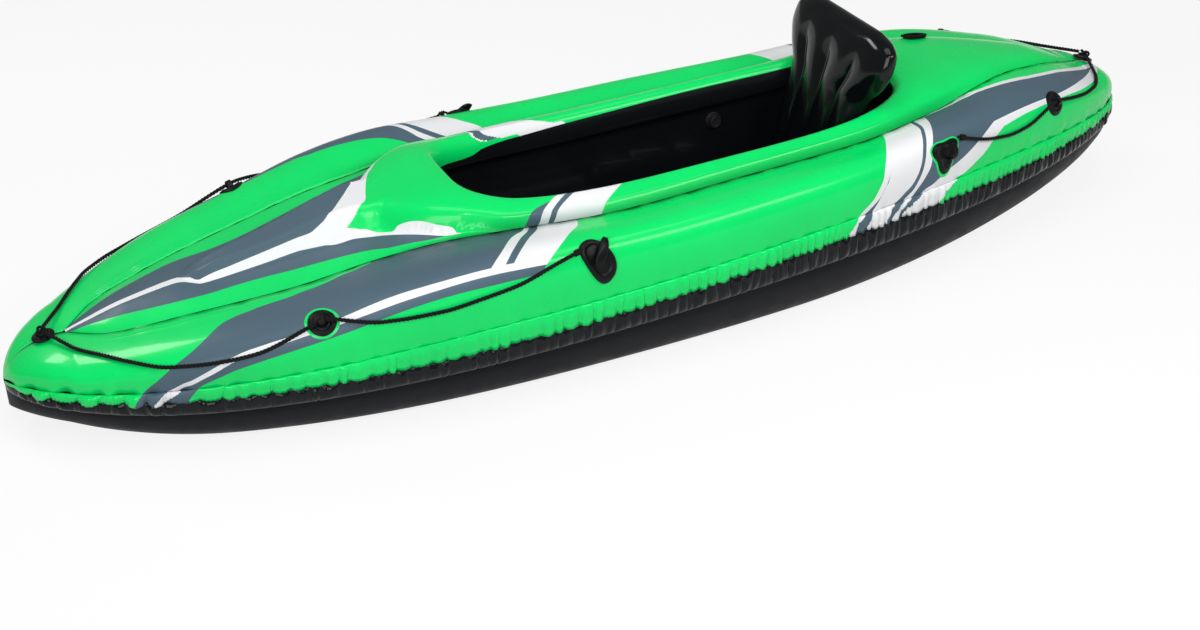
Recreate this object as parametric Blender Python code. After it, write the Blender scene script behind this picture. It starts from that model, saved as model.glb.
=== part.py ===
# One-seat inflatable kayak: two side chambers, a deck chamber with a cockpit, a bow deck,
# a bottom chamber with a ribbed floor, seat and backrest, valves, grab handles and a lifeline.
# Metres, +X towards the bow, +Y to port, +Z up. The origin is on the ground under mid-length.

from math import cos, exp, pi, radians, sin, sqrt

import bmesh
import bpy
import numpy as np
from mathutils import Matrix, Vector

# Hull size
HALF_LENGTH = 1.36
HALF_BEAM = 0.386
WIDEST_X = 0.20
BOW_POWER, BOW_ROOT = 2.4, 1.6
STERN_POWER, STERN_ROOT = 2.1, 2.0
GAP = 0.0003

# Weld line between the deck and a side chamber: where it ends, and its height there
SEAM_BOW_X, SEAM_BOW_Z = 1.227, 0.186
SEAM_STERN_X, SEAM_STERN_Z = -1.262, 0.295

# Heights and widths at stations along the hull, as (x, value)
CHINE_HEIGHT = ((-1.36, 0.208), (-0.8, 0.198), (-0.4, 0.184), (0.0, 0.163), (0.4, 0.145), (1.0, 0.122),
                (1.36, 0.108))
SEAM_WIDTH = ((SEAM_STERN_X, 0.001), (-1.15, 0.048), (-1.0, 0.100), (-0.86, 0.155), (-0.7, 0.205),
              (-0.5, 0.228), (-0.2, 0.236), (0.1, 0.244), (0.35, 0.219), (0.55, 0.192), (0.72, 0.1775),
              (0.9, 0.1455), (1.06, 0.105), (1.15, 0.072), (SEAM_BOW_X, 0.001))
SEAM_HEIGHT = ((SEAM_STERN_X, SEAM_STERN_Z), (-1.1, 0.342), (-0.9, 0.366), (-0.7, 0.350), (-0.5, 0.330),
               (-0.2, 0.318), (0.1, 0.309), (0.4, 0.310), (0.6, 0.2945), (0.8, 0.2605), (1.0, 0.230),
               (SEAM_BOW_X, SEAM_BOW_Z))
CREST_HEIGHT = ((SEAM_STERN_X, 0.297), (-1.1, 0.362), (-0.9, 0.394), (-0.75, 0.400), (-0.5, 0.376),
                (-0.2, 0.362), (0.1, 0.353), (0.3, 0.360), (0.43, 0.374), (0.56, 0.352), (0.72, 0.322),
                (0.94, 0.272), (1.1, 0.228), (SEAM_BOW_X, 0.189))
TUBE_LIFT = ((-1.36, 0.0), (-0.9, 0.008), (-0.6, 0.024), (0.0, 0.0285), (0.25, 0.031), (0.45, 0.0345),
             (0.55, 0.0335), (0.75, 0.025), (0.9, 0.021), (1.0, 0.0175), (1.15, 0.009), (1.36, 0.0))

# Side chamber section: squareness of its arc, and how far it bulges past it along the hull
TUBE_SQUARENESS = 3.2
TUBE_BULGE = ((-1.36, 0.012), (0.0, 0.012), (0.25, 0.013), (0.45, 0.021), (0.55, 0.0235), (0.75, 0.023),
              (0.9, 0.025), (1.0, 0.026), (1.15, 0.021), (1.36, 0.012))
TUBE_WIDTH, TUBE_HEIGHT = 0.14, 0.16

# Deck: a low arch between the welds, a flat-topped spine on the fore deck, and the full body round the
# cockpit, which starts at a rounded front given as (distance from the middle, x)
ARCH_RISE = ((0.30, 0.004), (0.75, 0.005), (0.875, 0.006), (0.93, 0.009), (0.975, 0.0145), (1.0, 0.0165),
             (1.1, 0.0175), (SEAM_BOW_X, 0.003))
SPINE_TOP = ((0.0, 0.0), (0.30, 0.340), (0.50, 0.350), (0.56, 0.3535), (0.60, 0.3535), (0.655, 0.345),
             (0.72, 0.327), (0.81, 0.302), (0.885, 0.285), (0.945, 0.265), (0.965, 0.254), (0.985, 0.238),
             (1.0, 0.21), (1.3, 0.0))
SPINE_FLAT = ((0.30, 0.055), (0.60, 0.053), (0.655, 0.045), (0.72, 0.038), (0.81, 0.030), (0.885, 0.023),
              (0.94, 0.018), (0.958, 0.011), (0.975, 0.004), (1.3, 0.002))
SPINE_FOOT = ((0.30, 0.105), (0.62, 0.100), (0.69, 0.080), (0.75, 0.066), (0.81, 0.058), (0.875, 0.050),
              (0.94, 0.042), (0.958, 0.030), (0.975, 0.012), (1.3, 0.006))
HUMP_FRONT = ((0.0, 0.602), (0.04, 0.596), (0.07, 0.582), (0.115, 0.545), (0.15, 0.505), (0.18, 0.455),
              (0.20, 0.40), (0.25, 0.30))
HUMP_NOSE, HUMP_ROUNDNESS = 0.055, 2.3

# Bottom chamber: round bilge, and the rise of its ends
BILGE_WIDTH = 0.085
BILGE_SQUARENESS = 2.4
BOW_ROCKER_START, BOW_ROCKER, BOW_ROCKER_POWER = 0.95, 0.050, 2.0
STERN_ROCKER_START, STERN_ROCKER, STERN_ROCKER_POWER = 0.30, 0.120, 1.8

# Cockpit: the opening in the deck, and the wider well below it
OPENING_CENTRE, OPENING_HALF_LENGTH, OPENING_HALF_WIDTH = -0.147, 0.534, 0.173
OPENING_SQUARENESS = 4.0
WELL_CENTRE, WELL_HALF_LENGTH, WELL_HALF_WIDTH = -0.145, 0.560, 0.2225
WELL_SQUARENESS = 5.0
WELL_FLOOR = 0.062
COAMING_UNDERSIDE = 0.295
LINER_THICKNESS = 0.0035
# Inner roll of the coaming, as (height above the crest, distance outside the opening)
COAMING_ROLL = ((-0.20, 0.012), (-0.045, 0.0), (-0.020, 0.004), (-0.006, 0.014), (0.004, 0.030),
                (0.030, 0.075))

# Ribbed floor
FLOOR_RIBS, RIB_STEPS = 5, 3
FLOOR_LOW, FLOOR_HIGH, FLOOR_EDGE = 0.076, 0.096, 0.004
FLOOR_REACH, FLOOR_CLEARANCE = 0.985, 0.003

# Gathered bands along the chine, green above and black below
BAND_THICKNESS = 0.009
GREEN_BAND_ANGLES = (90.0, 87.2, 84.4)
BLACK_BAND_ANGLES = (0.0, 7.0, 14.0)

# Seat cushion and backrest
SEAT_FRONT, SEAT_REAR, SEAT_HALF_WIDTH, SEAT_THICKNESS = -0.085, -0.440, 0.165, 0.045
SEAT_CHANNELS = 3
BACKREST_HINGE = (-0.480, 0.0, 0.094)
BACKREST_LEAN = radians(16.5)
BACKREST_HEIGHT, BACKREST_THICKNESS = 0.456, 0.072
BACKREST_CHANNELS = 4
BACKREST_FOOT = 0.004
BACKREST_WIDTH = ((0.0, 0.138), (0.5, 0.148), (0.64, 0.154), (0.74, 0.186), (0.84, 0.203), (0.92, 0.200),
                  (0.97, 0.176), (1.0, 0.125))
RIM = 0.0035

# Valves: main valves on the inner walls and the floor, small ones on the seat and backrest
VALVE_X, VALVE_Z = -0.375, 0.232
FLOOR_VALVE_X = 0.27
VALVE_SEGMENTS = 16
SMALL_VALVE_SCALE = 0.62
FLAP_RADIUS, FLAP_THICKNESS = 0.0084, 0.0008

# Lifeline and its fittings, placed on the side chambers by (x, angle round the tube in degrees)
ROPE_RADIUS = 0.0035
ROPE_CLEARANCE = 0.0024
HANDLE = (0.209, 55.2)
TIE_PATCH = (-0.668, 60.0)
EYELET_RADIUS = 0.0285
BRIDGE_ROPE_HEIGHT, BRIDGE_REACH = 0.0105, 0.050
FORE_ROPE = ((1.217, 16.0), (1.181, 23.5), (1.136, 37.3), (1.088, 50.2), (0.998, 57.1), (0.905, 56.5),
             (0.838, 48.3), (0.802, 44.0), (0.780, 42.0), (0.758, 43.8), (0.725, 50.4), (0.685, 57.7),
             (0.613, 63.3), (0.544, 65.3), (0.472, 64.5), (0.385, 61.3), (0.316, 53.9), (0.262, 47.5))
AFT_ROPE = ((-0.7215, 51.6), (-0.748, 56.5), (-0.789, 62.0), (-0.869, 67.0), (-0.940, 64.0), (-0.985, 56.5),
            (-1.010, 52.2), (-1.031, 50.7), (-1.052, 50.4), (-1.090, 51.5), (-1.154, 51.0), (-1.215, 42.0),
            (-1.250, 28.0))
FORE_EYELET, AFT_EYELET = FORE_ROPE[8], AFT_ROPE[7]
ROPE_LONGEST_SPAN = 0.070
BOW_EYELET_X, STERN_EYELET_X = 1.268, -1.292
END_EYELET_LIFT = 0.0045
END_KNOT_RADIUS, END_KNOT_HEIGHT = 0.0150, 0.0125

# Spare tie cord, coiled on the rear deck
HANK_PLACE = (-0.868, -0.115)
HANK_CORD_RADIUS, HANK_LIFT = 0.0015, 0.0020
HANK_INNER, HANK_STEP, HANK_RISE = 0.0125, 0.0060, 0.0042
HANK_LAYERS, HANK_TURNS, POINTS_PER_TURN = 2, 3, 24


def remove_everything():
    for item in list(bpy.data.objects):
        bpy.data.objects.remove(item, do_unlink=True)


def smooth(knots):
    # A smooth curve through (x, value) knots that never overshoots them
    xs = np.array([knot[0] for knot in knots])
    ys = np.array([knot[1] for knot in knots])
    steps = np.diff(xs)
    slopes = np.diff(ys) / steps
    tangents = np.zeros(len(xs))
    tangents[0] = slopes[0]
    tangents[-1] = slopes[-1]
    for i in range(1, len(xs) - 1):
        if slopes[i - 1] * slopes[i] > 0:
            before = 2 * steps[i] + steps[i - 1]
            after = steps[i] + 2 * steps[i - 1]
            tangents[i] = (before + after) / (before / slopes[i - 1] + after / slopes[i])

    def value(x):
        x = min(max(x, xs[0]), xs[-1])
        i = min(int(np.searchsorted(xs, x, "right")) - 1, len(xs) - 2)
        t = (x - xs[i]) / steps[i]
        left = ys[i] * (1 + 2 * t) * (1 - t) ** 2 + steps[i] * tangents[i] * t * (1 - t) ** 2
        right = ys[i + 1] * t * t * (3 - 2 * t) + steps[i] * tangents[i + 1] * t * t * (t - 1)
        return float(left + right)

    return value


chine_height = smooth(CHINE_HEIGHT)
seam_width = smooth(SEAM_WIDTH)
seam_height = smooth(SEAM_HEIGHT)
crest_height = smooth(CREST_HEIGHT)
tube_lift = smooth(TUBE_LIFT)
tube_bulge = smooth(TUBE_BULGE)
arch_rise = smooth(ARCH_RISE)
spine_top = smooth(SPINE_TOP)
spine_flat = smooth(SPINE_FLAT)
spine_foot = smooth(SPINE_FOOT)
hump_front = smooth(HUMP_FRONT)
backrest_width = smooth(BACKREST_WIDTH)


def stations():
    # Sections every 80 mm, closer together where the ends round off
    stern = [-1.352, -1.335, -1.30, -1.25]
    bow = [1.17, 1.22, 1.25, 1.30, 1.335, 1.352]
    middle = [round(-1.20 + 0.08 * i, 3) for i in range(30)]
    return stern + middle + bow


def half_beam(x):
    if x >= WIDEST_X:
        t = (x - WIDEST_X) / (HALF_LENGTH - WIDEST_X)
        return HALF_BEAM * max(1 - t ** BOW_POWER, 0.0) ** (1 / BOW_ROOT)
    t = (WIDEST_X - x) / (HALF_LENGTH + WIDEST_X)
    return HALF_BEAM * max(1 - t ** STERN_POWER, 0.0) ** (1 / STERN_ROOT)


def seam(x):
    # Half width and height of the deck weld; past its ends the side chambers meet and round down
    chine = chine_height(x)
    if x > SEAM_BOW_X:
        t = (x - SEAM_BOW_X) / (HALF_LENGTH - SEAM_BOW_X)
        return 0.0, chine + (SEAM_BOW_Z - chine) * sqrt(max(1 - t * t, 0.0))
    if x < SEAM_STERN_X:
        t = (SEAM_STERN_X - x) / (HALF_LENGTH + SEAM_STERN_X)
        return 0.0, chine + (SEAM_STERN_Z - chine) * sqrt(max(1 - t * t, 0.0))
    return seam_width(x), seam_height(x)


def tube(x, angle, side):
    # Outer skin of a side chamber: angle 0 at the deck weld, a right angle at the chine
    width, height = seam(x)
    beam = half_beam(x)
    chine = chine_height(x)
    power = 2 / TUBE_SQUARENESS
    across = max(sin(angle), 0.0) ** power
    up = max(cos(angle), 0.0) ** power
    swell = sin(2 * angle)
    y = width + (beam - width) * (across + tube_bulge(x) * swell / TUBE_WIDTH)
    z = chine + (height - chine) * (up + tube_lift(x) * swell / TUBE_HEIGHT)
    return Vector((x, side * y, z))


def tube_frame(x, angle, side):
    # Place, outward normal and the two speeds of the tube's skin at a point
    small = 0.002
    ahead = (tube(x + small, angle, side) - tube(x - small, angle, side)) / (2 * small)
    round_it = (tube(x, angle + small, side) - tube(x, angle - small, side)) / (2 * small)
    normal = ahead.cross(round_it).normalized()
    if normal.y * side < 0:
        normal = -normal
    return tube(x, angle, side), normal, ahead, round_it


def bilge(x, angle, side):
    # Skin of the bottom chamber: angle 0 at the chine, a right angle at the flat bottom
    beam = half_beam(x)
    chine = chine_height(x)
    width = min(BILGE_WIDTH, 0.6 * beam)
    floor = rocker(x)
    power = 2 / BILGE_SQUARENESS
    y = beam - width + width * max(cos(angle), 0.0) ** power
    z = chine - (chine - floor) * max(sin(angle), 0.0) ** power
    return Vector((x, side * y, z))


def rocker(x):
    # Height of the bottom, flat amidships and rising to both ends
    if x > 0:
        t = max(x - BOW_ROCKER_START, 0.0) / (HALF_LENGTH - BOW_ROCKER_START)
        return BOW_ROCKER * t ** BOW_ROCKER_POWER
    t = max(-x - STERN_ROCKER_START, 0.0) / (HALF_LENGTH - STERN_ROCKER_START)
    return STERN_ROCKER * t ** STERN_ROCKER_POWER


def deck(x, y):
    # Height of the deck's top between the two welds: the highest of its arch, its spine and its full body
    width, height = seam(x)
    away = abs(y)
    t = min(away / max(width, 0.001), 1.0)
    base = height + arch_rise(x) * (1 - t * t)
    flat = spine_flat(x)
    share = min(max((away - flat) / max(spine_foot(x) - flat, 0.002), 0.0), 1.0)
    spine = base + (spine_top(x) - base) * (1 - share * share * (3 - 2 * share))
    power = 3.0 if x > -0.75 else 2.4
    inward = min(max((hump_front(away) - x) / HUMP_NOSE, 0.0), 1.0)
    nose = (1 - (1 - inward) ** HUMP_ROUNDNESS) ** (1 / HUMP_ROUNDNESS)
    body = height + (crest_height(x) - height) * (1 - t ** power) ** (1 / power) * nose
    return max(base, spine, body)


def oval(centre, half_length, half_width, squareness, grow=0.0, count=40):
    points = []
    for i in range(count):
        turn = 2 * pi * i / count
        c = cos(turn)
        s = sin(turn)
        x = centre + (half_length + grow) * np.sign(c) * abs(c) ** (2 / squareness)
        y = (half_width + grow) * np.sign(s) * abs(s) ** (2 / squareness)
        points.append((float(x), float(y)))
    return points


def oval_half_width(x, centre, half_length, half_width, squareness):
    t = min(abs(x - centre) / half_length, 1.0)
    return half_width * (1 - t ** squareness) ** (1 / squareness)


def colour_material(name, colour, roughness, metallic=0.0):
    material = bpy.data.materials.new(name)
    material.use_nodes = True
    shader = material.node_tree.nodes["Principled BSDF"]
    shader.inputs["Base Color"].default_value = (*colour, 1.0)
    shader.inputs["Roughness"].default_value = roughness
    shader.inputs["Metallic"].default_value = metallic
    return material


def add_mesh(name, shape, material, sharp_angle=40.0):
    bmesh.ops.recalc_face_normals(shape, faces=shape.faces)
    mesh = bpy.data.meshes.new(name)
    shape.to_mesh(mesh)
    shape.free()
    mesh.shade_smooth()
    mesh.set_sharp_from_angle(angle=radians(sharp_angle))
    item = bpy.data.objects.new(name, mesh)
    item.data.materials.append(material)
    bpy.context.scene.collection.objects.link(item)
    return item


def loft(rings):
    # A closed solid through rings of equally many points, capped at both ends
    shape = bmesh.new()
    loops = [[shape.verts.new(point) for point in ring] for ring in rings]
    count = len(loops[0])
    for first, second in zip(loops, loops[1:]):
        for i in range(count):
            shape.faces.new((first[i], first[(i + 1) % count], second[(i + 1) % count], second[i]))
    shape.faces.new(loops[0])
    shape.faces.new(list(reversed(loops[-1])))
    return shape


def set_origin(item, place):
    # Move an object's origin onto its joint's axis without moving its shape
    item.data.transform(Matrix.Translation(-Vector(place)))
    item.location = place


def cut(item, cutter, operation="DIFFERENCE"):
    change = item.modifiers.new(operation.lower(), "BOOLEAN")
    change.object = cutter
    change.operation = operation
    change.solver = "EXACT"
    cutter.hide_render = True
    cutter.display_type = "WIRE"


def turned(profile, frame, segments=VALVE_SEGMENTS, outline=None):
    # A turned solid from (radius, height) pairs, placed by a matrix; outline stretches a radius by direction
    rings = []
    for radius, height in profile:
        ring = []
        for i in range(segments):
            turn = 2 * pi * i / segments
            reach = radius * (outline(turn) if outline else 1.0)
            ring.append(frame @ Vector((reach * cos(turn), reach * sin(turn), height)))
        rings.append(ring)
    return loft(rings)


def frame_at(place, normal, forward):
    # Local Z along the normal, local X as near to forward as it can be
    z_axis = Vector(normal).normalized()
    x_axis = (Vector(forward) - z_axis * z_axis.dot(Vector(forward))).normalized()
    y_axis = z_axis.cross(x_axis)
    matrix = Matrix((x_axis, y_axis, z_axis)).transposed().to_4x4()
    matrix.translation = Vector(place)
    return matrix


def tube_patch(centre, side, profile, outline, tilt=0.0, segments=18):
    # A moulded patch that follows the side chamber's skin; profile is (share of the outline, height)
    x0, degrees = centre
    angle0 = radians(degrees)
    place, normal, ahead, round_it = tube_frame(x0, angle0, side)
    rings = []
    for share, height in UNDERSIDE + profile:
        ring = []
        for i in range(segments):
            turn = 2 * pi * i / segments
            reach = share * outline(turn)
            along = reach * cos(turn + tilt)
            up = reach * sin(turn + tilt)
            x = x0 + along / ahead.length
            angle = angle0 - up / round_it.length
            skin, lift = tube_frame(x, angle, side)[:2]
            ring.append(skin + lift * height)
        rings.append(ring)
    return loft(rings)


def rope_bridge(frame, width=0.023, height=0.0170, length=0.012, slot=0.0116, slot_height=0.0152):
    # A small moulded arch that the lifeline runs through along the frame's X
    outline = [(-width / 2, 0.0012), (-slot / 2, 0.0012), (-slot / 2, slot_height * 0.8),
               (-slot / 4, slot_height), (slot / 4, slot_height), (slot / 2, slot_height * 0.8),
               (slot / 2, 0.0012), (width / 2, 0.0012), (width / 2, height * 0.75), (width / 4, height),
               (-width / 4, height), (-width / 2, height * 0.75)]
    rings = []
    for along in (-length / 2, length / 2):
        rings.append([frame @ Vector((along, y, z)) for y, z in outline])
    return loft(rings)


def make_materials():
    return {
        "green": colour_material("green_vinyl", (0.010, 0.66, 0.085), 0.32),
        "black": colour_material("black_vinyl", (0.012, 0.012, 0.014), 0.38),
        "matte": colour_material("black_bottom_vinyl", (0.014, 0.014, 0.016), 0.55),
        "fitting": colour_material("black_moulded_vinyl", (0.010, 0.010, 0.011), 0.42),
        "rope": colour_material("black_rope", (0.012, 0.012, 0.013), 0.85),
        "valve": colour_material("valve_plastic", (0.020, 0.020, 0.022), 0.45),
        "flap": colour_material("valve_flap_rubber", (0.06, 0.06, 0.06), 0.6),
    }


def make_side_chambers(looks):
    angles = [radians(degrees) for degrees in (9, 18, 27, 36, 45, 54, 63, 72, 81, 87, 90)]
    for name, side in (("port_side_chamber", 1), ("starboard_side_chamber", -1)):
        rings = []
        for x in stations():
            width, height = seam(x)
            inner = max(width, GAP)
            base = chine_height(x) + GAP
            ring = [Vector((x, side * inner, base)), Vector((x, side * inner, height))]
            for angle in angles:
                point = tube(x, angle, side)
                point.z = max(point.z, base)
                point.y = side * max(abs(point.y), inner + 0.0002)
                ring.append(point)
            rings.append(ring)
        add_mesh(name, loft(rings), looks["green"])


def oval_prism(name, outline, low, high):
    rings = [[Vector((x, y, z)) for x, y in outline] for z in (low, high)]
    return add_mesh(name, loft(rings), None)


def make_deck(looks):
    well = oval(WELL_CENTRE, WELL_HALF_LENGTH, WELL_HALF_WIDTH, WELL_SQUARENESS, GAP)
    well_cutter = oval_prism("deck_well_cutter", well, 0.0, COAMING_UNDERSIDE)
    rings = []
    for rise, grow in COAMING_ROLL:
        outline = oval(OPENING_CENTRE, OPENING_HALF_LENGTH, OPENING_HALF_WIDTH, OPENING_SQUARENESS, grow)
        rings.append([Vector((x, y, crest_height(x) + rise)) for x, y in outline])
    opening_cutter = add_mesh("cockpit_opening_cutter", loft(rings), None)
    rings = deck_rings(-1.25, 0.56, even_points)
    chamber = add_mesh("deck_chamber", loft(rings), looks["green"])
    cut(chamber, well_cutter)
    cut(chamber, opening_cutter)
    rings = deck_rings(0.56, 1.22, spine_points)
    for point in rings[0]:
        point.x += GAP
    add_mesh("bow_deck_chamber", loft(rings), looks["green"])


def even_points(x, width):
    # Places across the deck, closer together towards the welds
    return [-width * cos(pi * i / 16) for i in range(17)]


def spine_points(x, width):
    # Places across the fore deck that keep the edges of its spine
    flat = min(spine_flat(x), 0.5 * width)
    foot = min(spine_foot(x), 0.7 * width)
    half = [width, 0.7 * width + 0.3 * foot, 0.35 * width + 0.65 * foot, foot, (flat + foot) / 2, flat, flat / 2]
    return [-y for y in half] + [0.0] + list(reversed(half))


def deck_rings(stern_end, bow_end, points_across):
    # Sections between the two side chambers, from the chine up to the deck's top
    rings = []
    for x in stations():
        if x < stern_end - 0.001 or x > bow_end + 0.001:
            continue
        width = seam(x)[0] - GAP
        base = chine_height(x) + GAP
        ring = [Vector((x, width, base)), Vector((x, -width, base))]
        for y in points_across(x, width):
            ring.append(Vector((x, y, max(deck(x, y), base + 0.001))))
        rings.append(ring)
    return rings


def make_bottom(looks):
    angles = [radians(degrees) for degrees in (0, 7, 14, 30, 48, 68, 90)]
    rings = []
    for x in stations():
        port = [bilge(x, angle, 1) for angle in angles]
        starboard = [bilge(x, angle, -1) for angle in reversed(angles)]
        rings.append(port + starboard)
    chamber = add_mesh("bottom_chamber", loft(rings), looks["matte"])
    well = oval(WELL_CENTRE, WELL_HALF_LENGTH, WELL_HALF_WIDTH, WELL_SQUARENESS)
    cut(chamber, oval_prism("bottom_well_cutter", well, WELL_FLOOR, 0.5))


def make_cockpit_lining(looks):
    outer = oval(WELL_CENTRE, WELL_HALF_LENGTH, WELL_HALF_WIDTH, WELL_SQUARENESS, -GAP)
    inner = oval(WELL_CENTRE, WELL_HALF_LENGTH, WELL_HALF_WIDTH, WELL_SQUARENESS, -GAP - LINER_THICKNESS)
    low = WELL_FLOOR + GAP
    high = COAMING_UNDERSIDE - GAP
    shape = bmesh.new()
    walls = []
    for outline, z in ((outer, low), (outer, high), (inner, high), (inner, low)):
        walls.append([shape.verts.new((x, y, z)) for x, y in outline])
    count = len(outer)
    for first, second in zip(walls, walls[1:] + walls[:1]):
        for i in range(count):
            shape.faces.new((first[i], first[(i + 1) % count], second[(i + 1) % count], second[i]))
    add_mesh("cockpit_liner", shape, looks["black"])


def floor_top(t, ribs_across):
    # Height of the floor's channels, which taper to the welds at both ends of the well
    low = WELL_FLOOR + GAP + FLOOR_EDGE
    crown = abs(sin(pi * ribs_across)) ** 0.6
    top = FLOOR_LOW + (FLOOR_HIGH - FLOOR_LOW) * crown
    return low + (top - low) * (1 - abs(t) ** 8) ** 0.5


def make_floor(looks):
    # Lengthwise air channels with welds between them
    grow = GAP + LINER_THICKNESS + GAP
    half_length = WELL_HALF_LENGTH - grow
    half_width = WELL_HALF_WIDTH - grow
    low = WELL_FLOOR + GAP
    rings = []
    for i in range(17):
        t = -cos(pi * i / 16)
        x = WELL_CENTRE + half_length * FLOOR_REACH * t
        width = oval_half_width(x, WELL_CENTRE, half_length, half_width, WELL_SQUARENESS) - FLOOR_CLEARANCE
        ring = [Vector((x, width, low)), Vector((x, -width, low))]
        steps = FLOOR_RIBS * RIB_STEPS
        for k in range(steps + 1):
            y = -width + 2 * width * k / steps
            ring.append(Vector((x, y, floor_top(t, k / RIB_STEPS))))
        rings.append(ring)
    add_mesh("floor_chamber", loft(rings), looks["black"])


def make_bands(looks):
    # Gathered strips welded along the chine, one green and one black on each side
    for side_name, side in (("port", 1), ("starboard", -1)):
        for colour, skin, angles in (("green", tube, GREEN_BAND_ANGLES), ("black", bilge, BLACK_BAND_ANGLES)):
            rings = []
            for x in stations():
                inner = []
                outer = []
                for step, degrees in enumerate(angles):
                    point = skin(x, radians(degrees), side)
                    reach = BAND_THICKNESS * (0.85, 1.0, 0.35)[step]
                    lift = 2 * GAP if colour == "green" else -2 * GAP
                    inner.append(point + Vector((0, side * 2 * GAP, lift)))
                    outer.append(point + Vector((0, side * reach, lift)))
                rings.append(inner + list(reversed(outer)))
            add_mesh(side_name + "_" + colour + "_gather_band", loft(rings), looks[colour])


def pad_edge(t, power):
    return (1 - min(abs(t), 1.0) ** power) ** 0.5


def seat_swell(t, s):
    return pad_edge(t, 4) * pad_edge(s, 6)


def seat_thickness(t, s):
    groove = abs(sin(SEAT_CHANNELS * pi * (t + 1) / 2)) ** 0.5
    return RIM + SEAT_THICKNESS * seat_swell(t, s) * (0.72 + 0.28 * groove)


def make_seat(looks):
    rings = []
    steps_along, steps_across = 15, 8
    base = FLOOR_HIGH + GAP
    for i in range(steps_along + 1):
        t = -cos(pi * i / steps_along)
        x = (SEAT_FRONT + SEAT_REAR) / 2 + t * (SEAT_FRONT - SEAT_REAR) / 2
        width = SEAT_HALF_WIDTH * (0.90 + 0.10 * pad_edge(t, 6))
        top = []
        bottom = []
        for k in range(steps_across + 1):
            s = -cos(pi * k / steps_across)
            lift = 0.010 * (1 - seat_swell(t, s))
            top.append(Vector((x, s * width, base + RIM + lift + seat_thickness(t, s))))
            bottom.append(Vector((x, s * width, base + lift)))
        rings.append(top + list(reversed(bottom)))
    add_mesh("seat_cushion", loft(rings), looks["black"])


def backrest_matrix():
    return Matrix.Translation(BACKREST_HINGE) @ Matrix.Rotation(-BACKREST_LEAN, 4, "Y")


def backrest_bulge(s, v):
    # Half thickness over the face: upright channels that stop short of the top and bottom edges
    swell = pad_edge(s, 4) * pad_edge(2 * v - 1, 6)
    reach = min(max((v - 0.06) / 0.14, 0.0), 1.0) * min(max((0.90 - v) / 0.12, 0.0), 1.0)
    groove = abs(sin(BACKREST_CHANNELS * pi * (s + 1) / 2)) ** 0.5
    return RIM + BACKREST_THICKNESS / 2 * swell * (1 - 0.42 * reach * (1 - groove))


def make_backrest(looks):
    frame = backrest_matrix()
    rings = []
    steps_up, steps_across = 15, 20
    for i in range(steps_up + 1):
        v = (1 - cos(pi * i / steps_up)) / 2
        width = backrest_width(v)
        front = []
        back = []
        for k in range(steps_across + 1):
            s = -1 + 2 * k / steps_across
            half = backrest_bulge(s, v)
            z = BACKREST_FOOT + v * BACKREST_HEIGHT
            front.append(frame @ Vector((half, s * width, z)))
            back.append(frame @ Vector((-half, s * width, z)))
        rings.append(front + list(reversed(back)))
    item = add_mesh("backrest", loft(rings), looks["black"])
    set_origin(item, BACKREST_HINGE)


def tab_outline(reach, direction=0.0, spread=0.30):
    # A round outline with one tab
    def outline(turn):
        away = (turn - direction + pi) % (2 * pi) - pi
        return 1.0 + reach * exp(-(away / spread) ** 2)
    return outline


def make_valve(name, frame, looks, scale=1.0, with_flap=True):
    # A flanged valve with a bore, a plug cap hinged on a tab, and a flap that stops the air coming back
    k = scale
    base = [(0.0210 * k, 0.0), (0.0210 * k, 0.0022 * k), (0.0190 * k, 0.0032 * k), (0.0135 * k, 0.0038 * k),
            (0.0125 * k, 0.0110 * k), (0.0097 * k, 0.0110 * k), (0.0092 * k, 0.0032 * k)]
    add_mesh(name + "_base", turned(base, frame), looks["valve"])
    cap = [(0.0082 * k, 0.0062 * k), (0.0088 * k, 0.0070 * k), (0.0088 * k, 0.0114 * k),
           (0.0148 * k, 0.0114 * k), (0.0148 * k, 0.0150 * k), (0.0130 * k, 0.0165 * k)]
    shape = turned_cap(cap, frame)
    item = add_mesh(name + "_cap", shape, looks["valve"])
    hinge = frame @ Vector((0.0185 * k, 0.0, 0.0132 * k))
    set_origin(item, hinge)
    print(name, "cap hinge", [round(value, 5) for value in hinge])
    if with_flap:
        low = 0.0032 * k + GAP
        flap = [(FLAP_RADIUS * k, low), (FLAP_RADIUS * k, low + FLAP_THICKNESS)]
        add_mesh(name + "_flap", turned(flap, frame), looks["flap"])


def turned_cap(profile, frame):
    # Only the cap's broad top carries the hinge tab
    tab = tab_outline(0.26)
    rings = []
    for radius, height in profile:
        ring = []
        for i in range(VALVE_SEGMENTS):
            turn = 2 * pi * i / VALVE_SEGMENTS
            broad = profile[3][0] * 0.85
            reach = radius * (tab(turn) if radius > broad else 1.0)
            ring.append(frame @ Vector((reach * cos(turn), reach * sin(turn), height)))
        rings.append(ring)
    return loft(rings)


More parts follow.
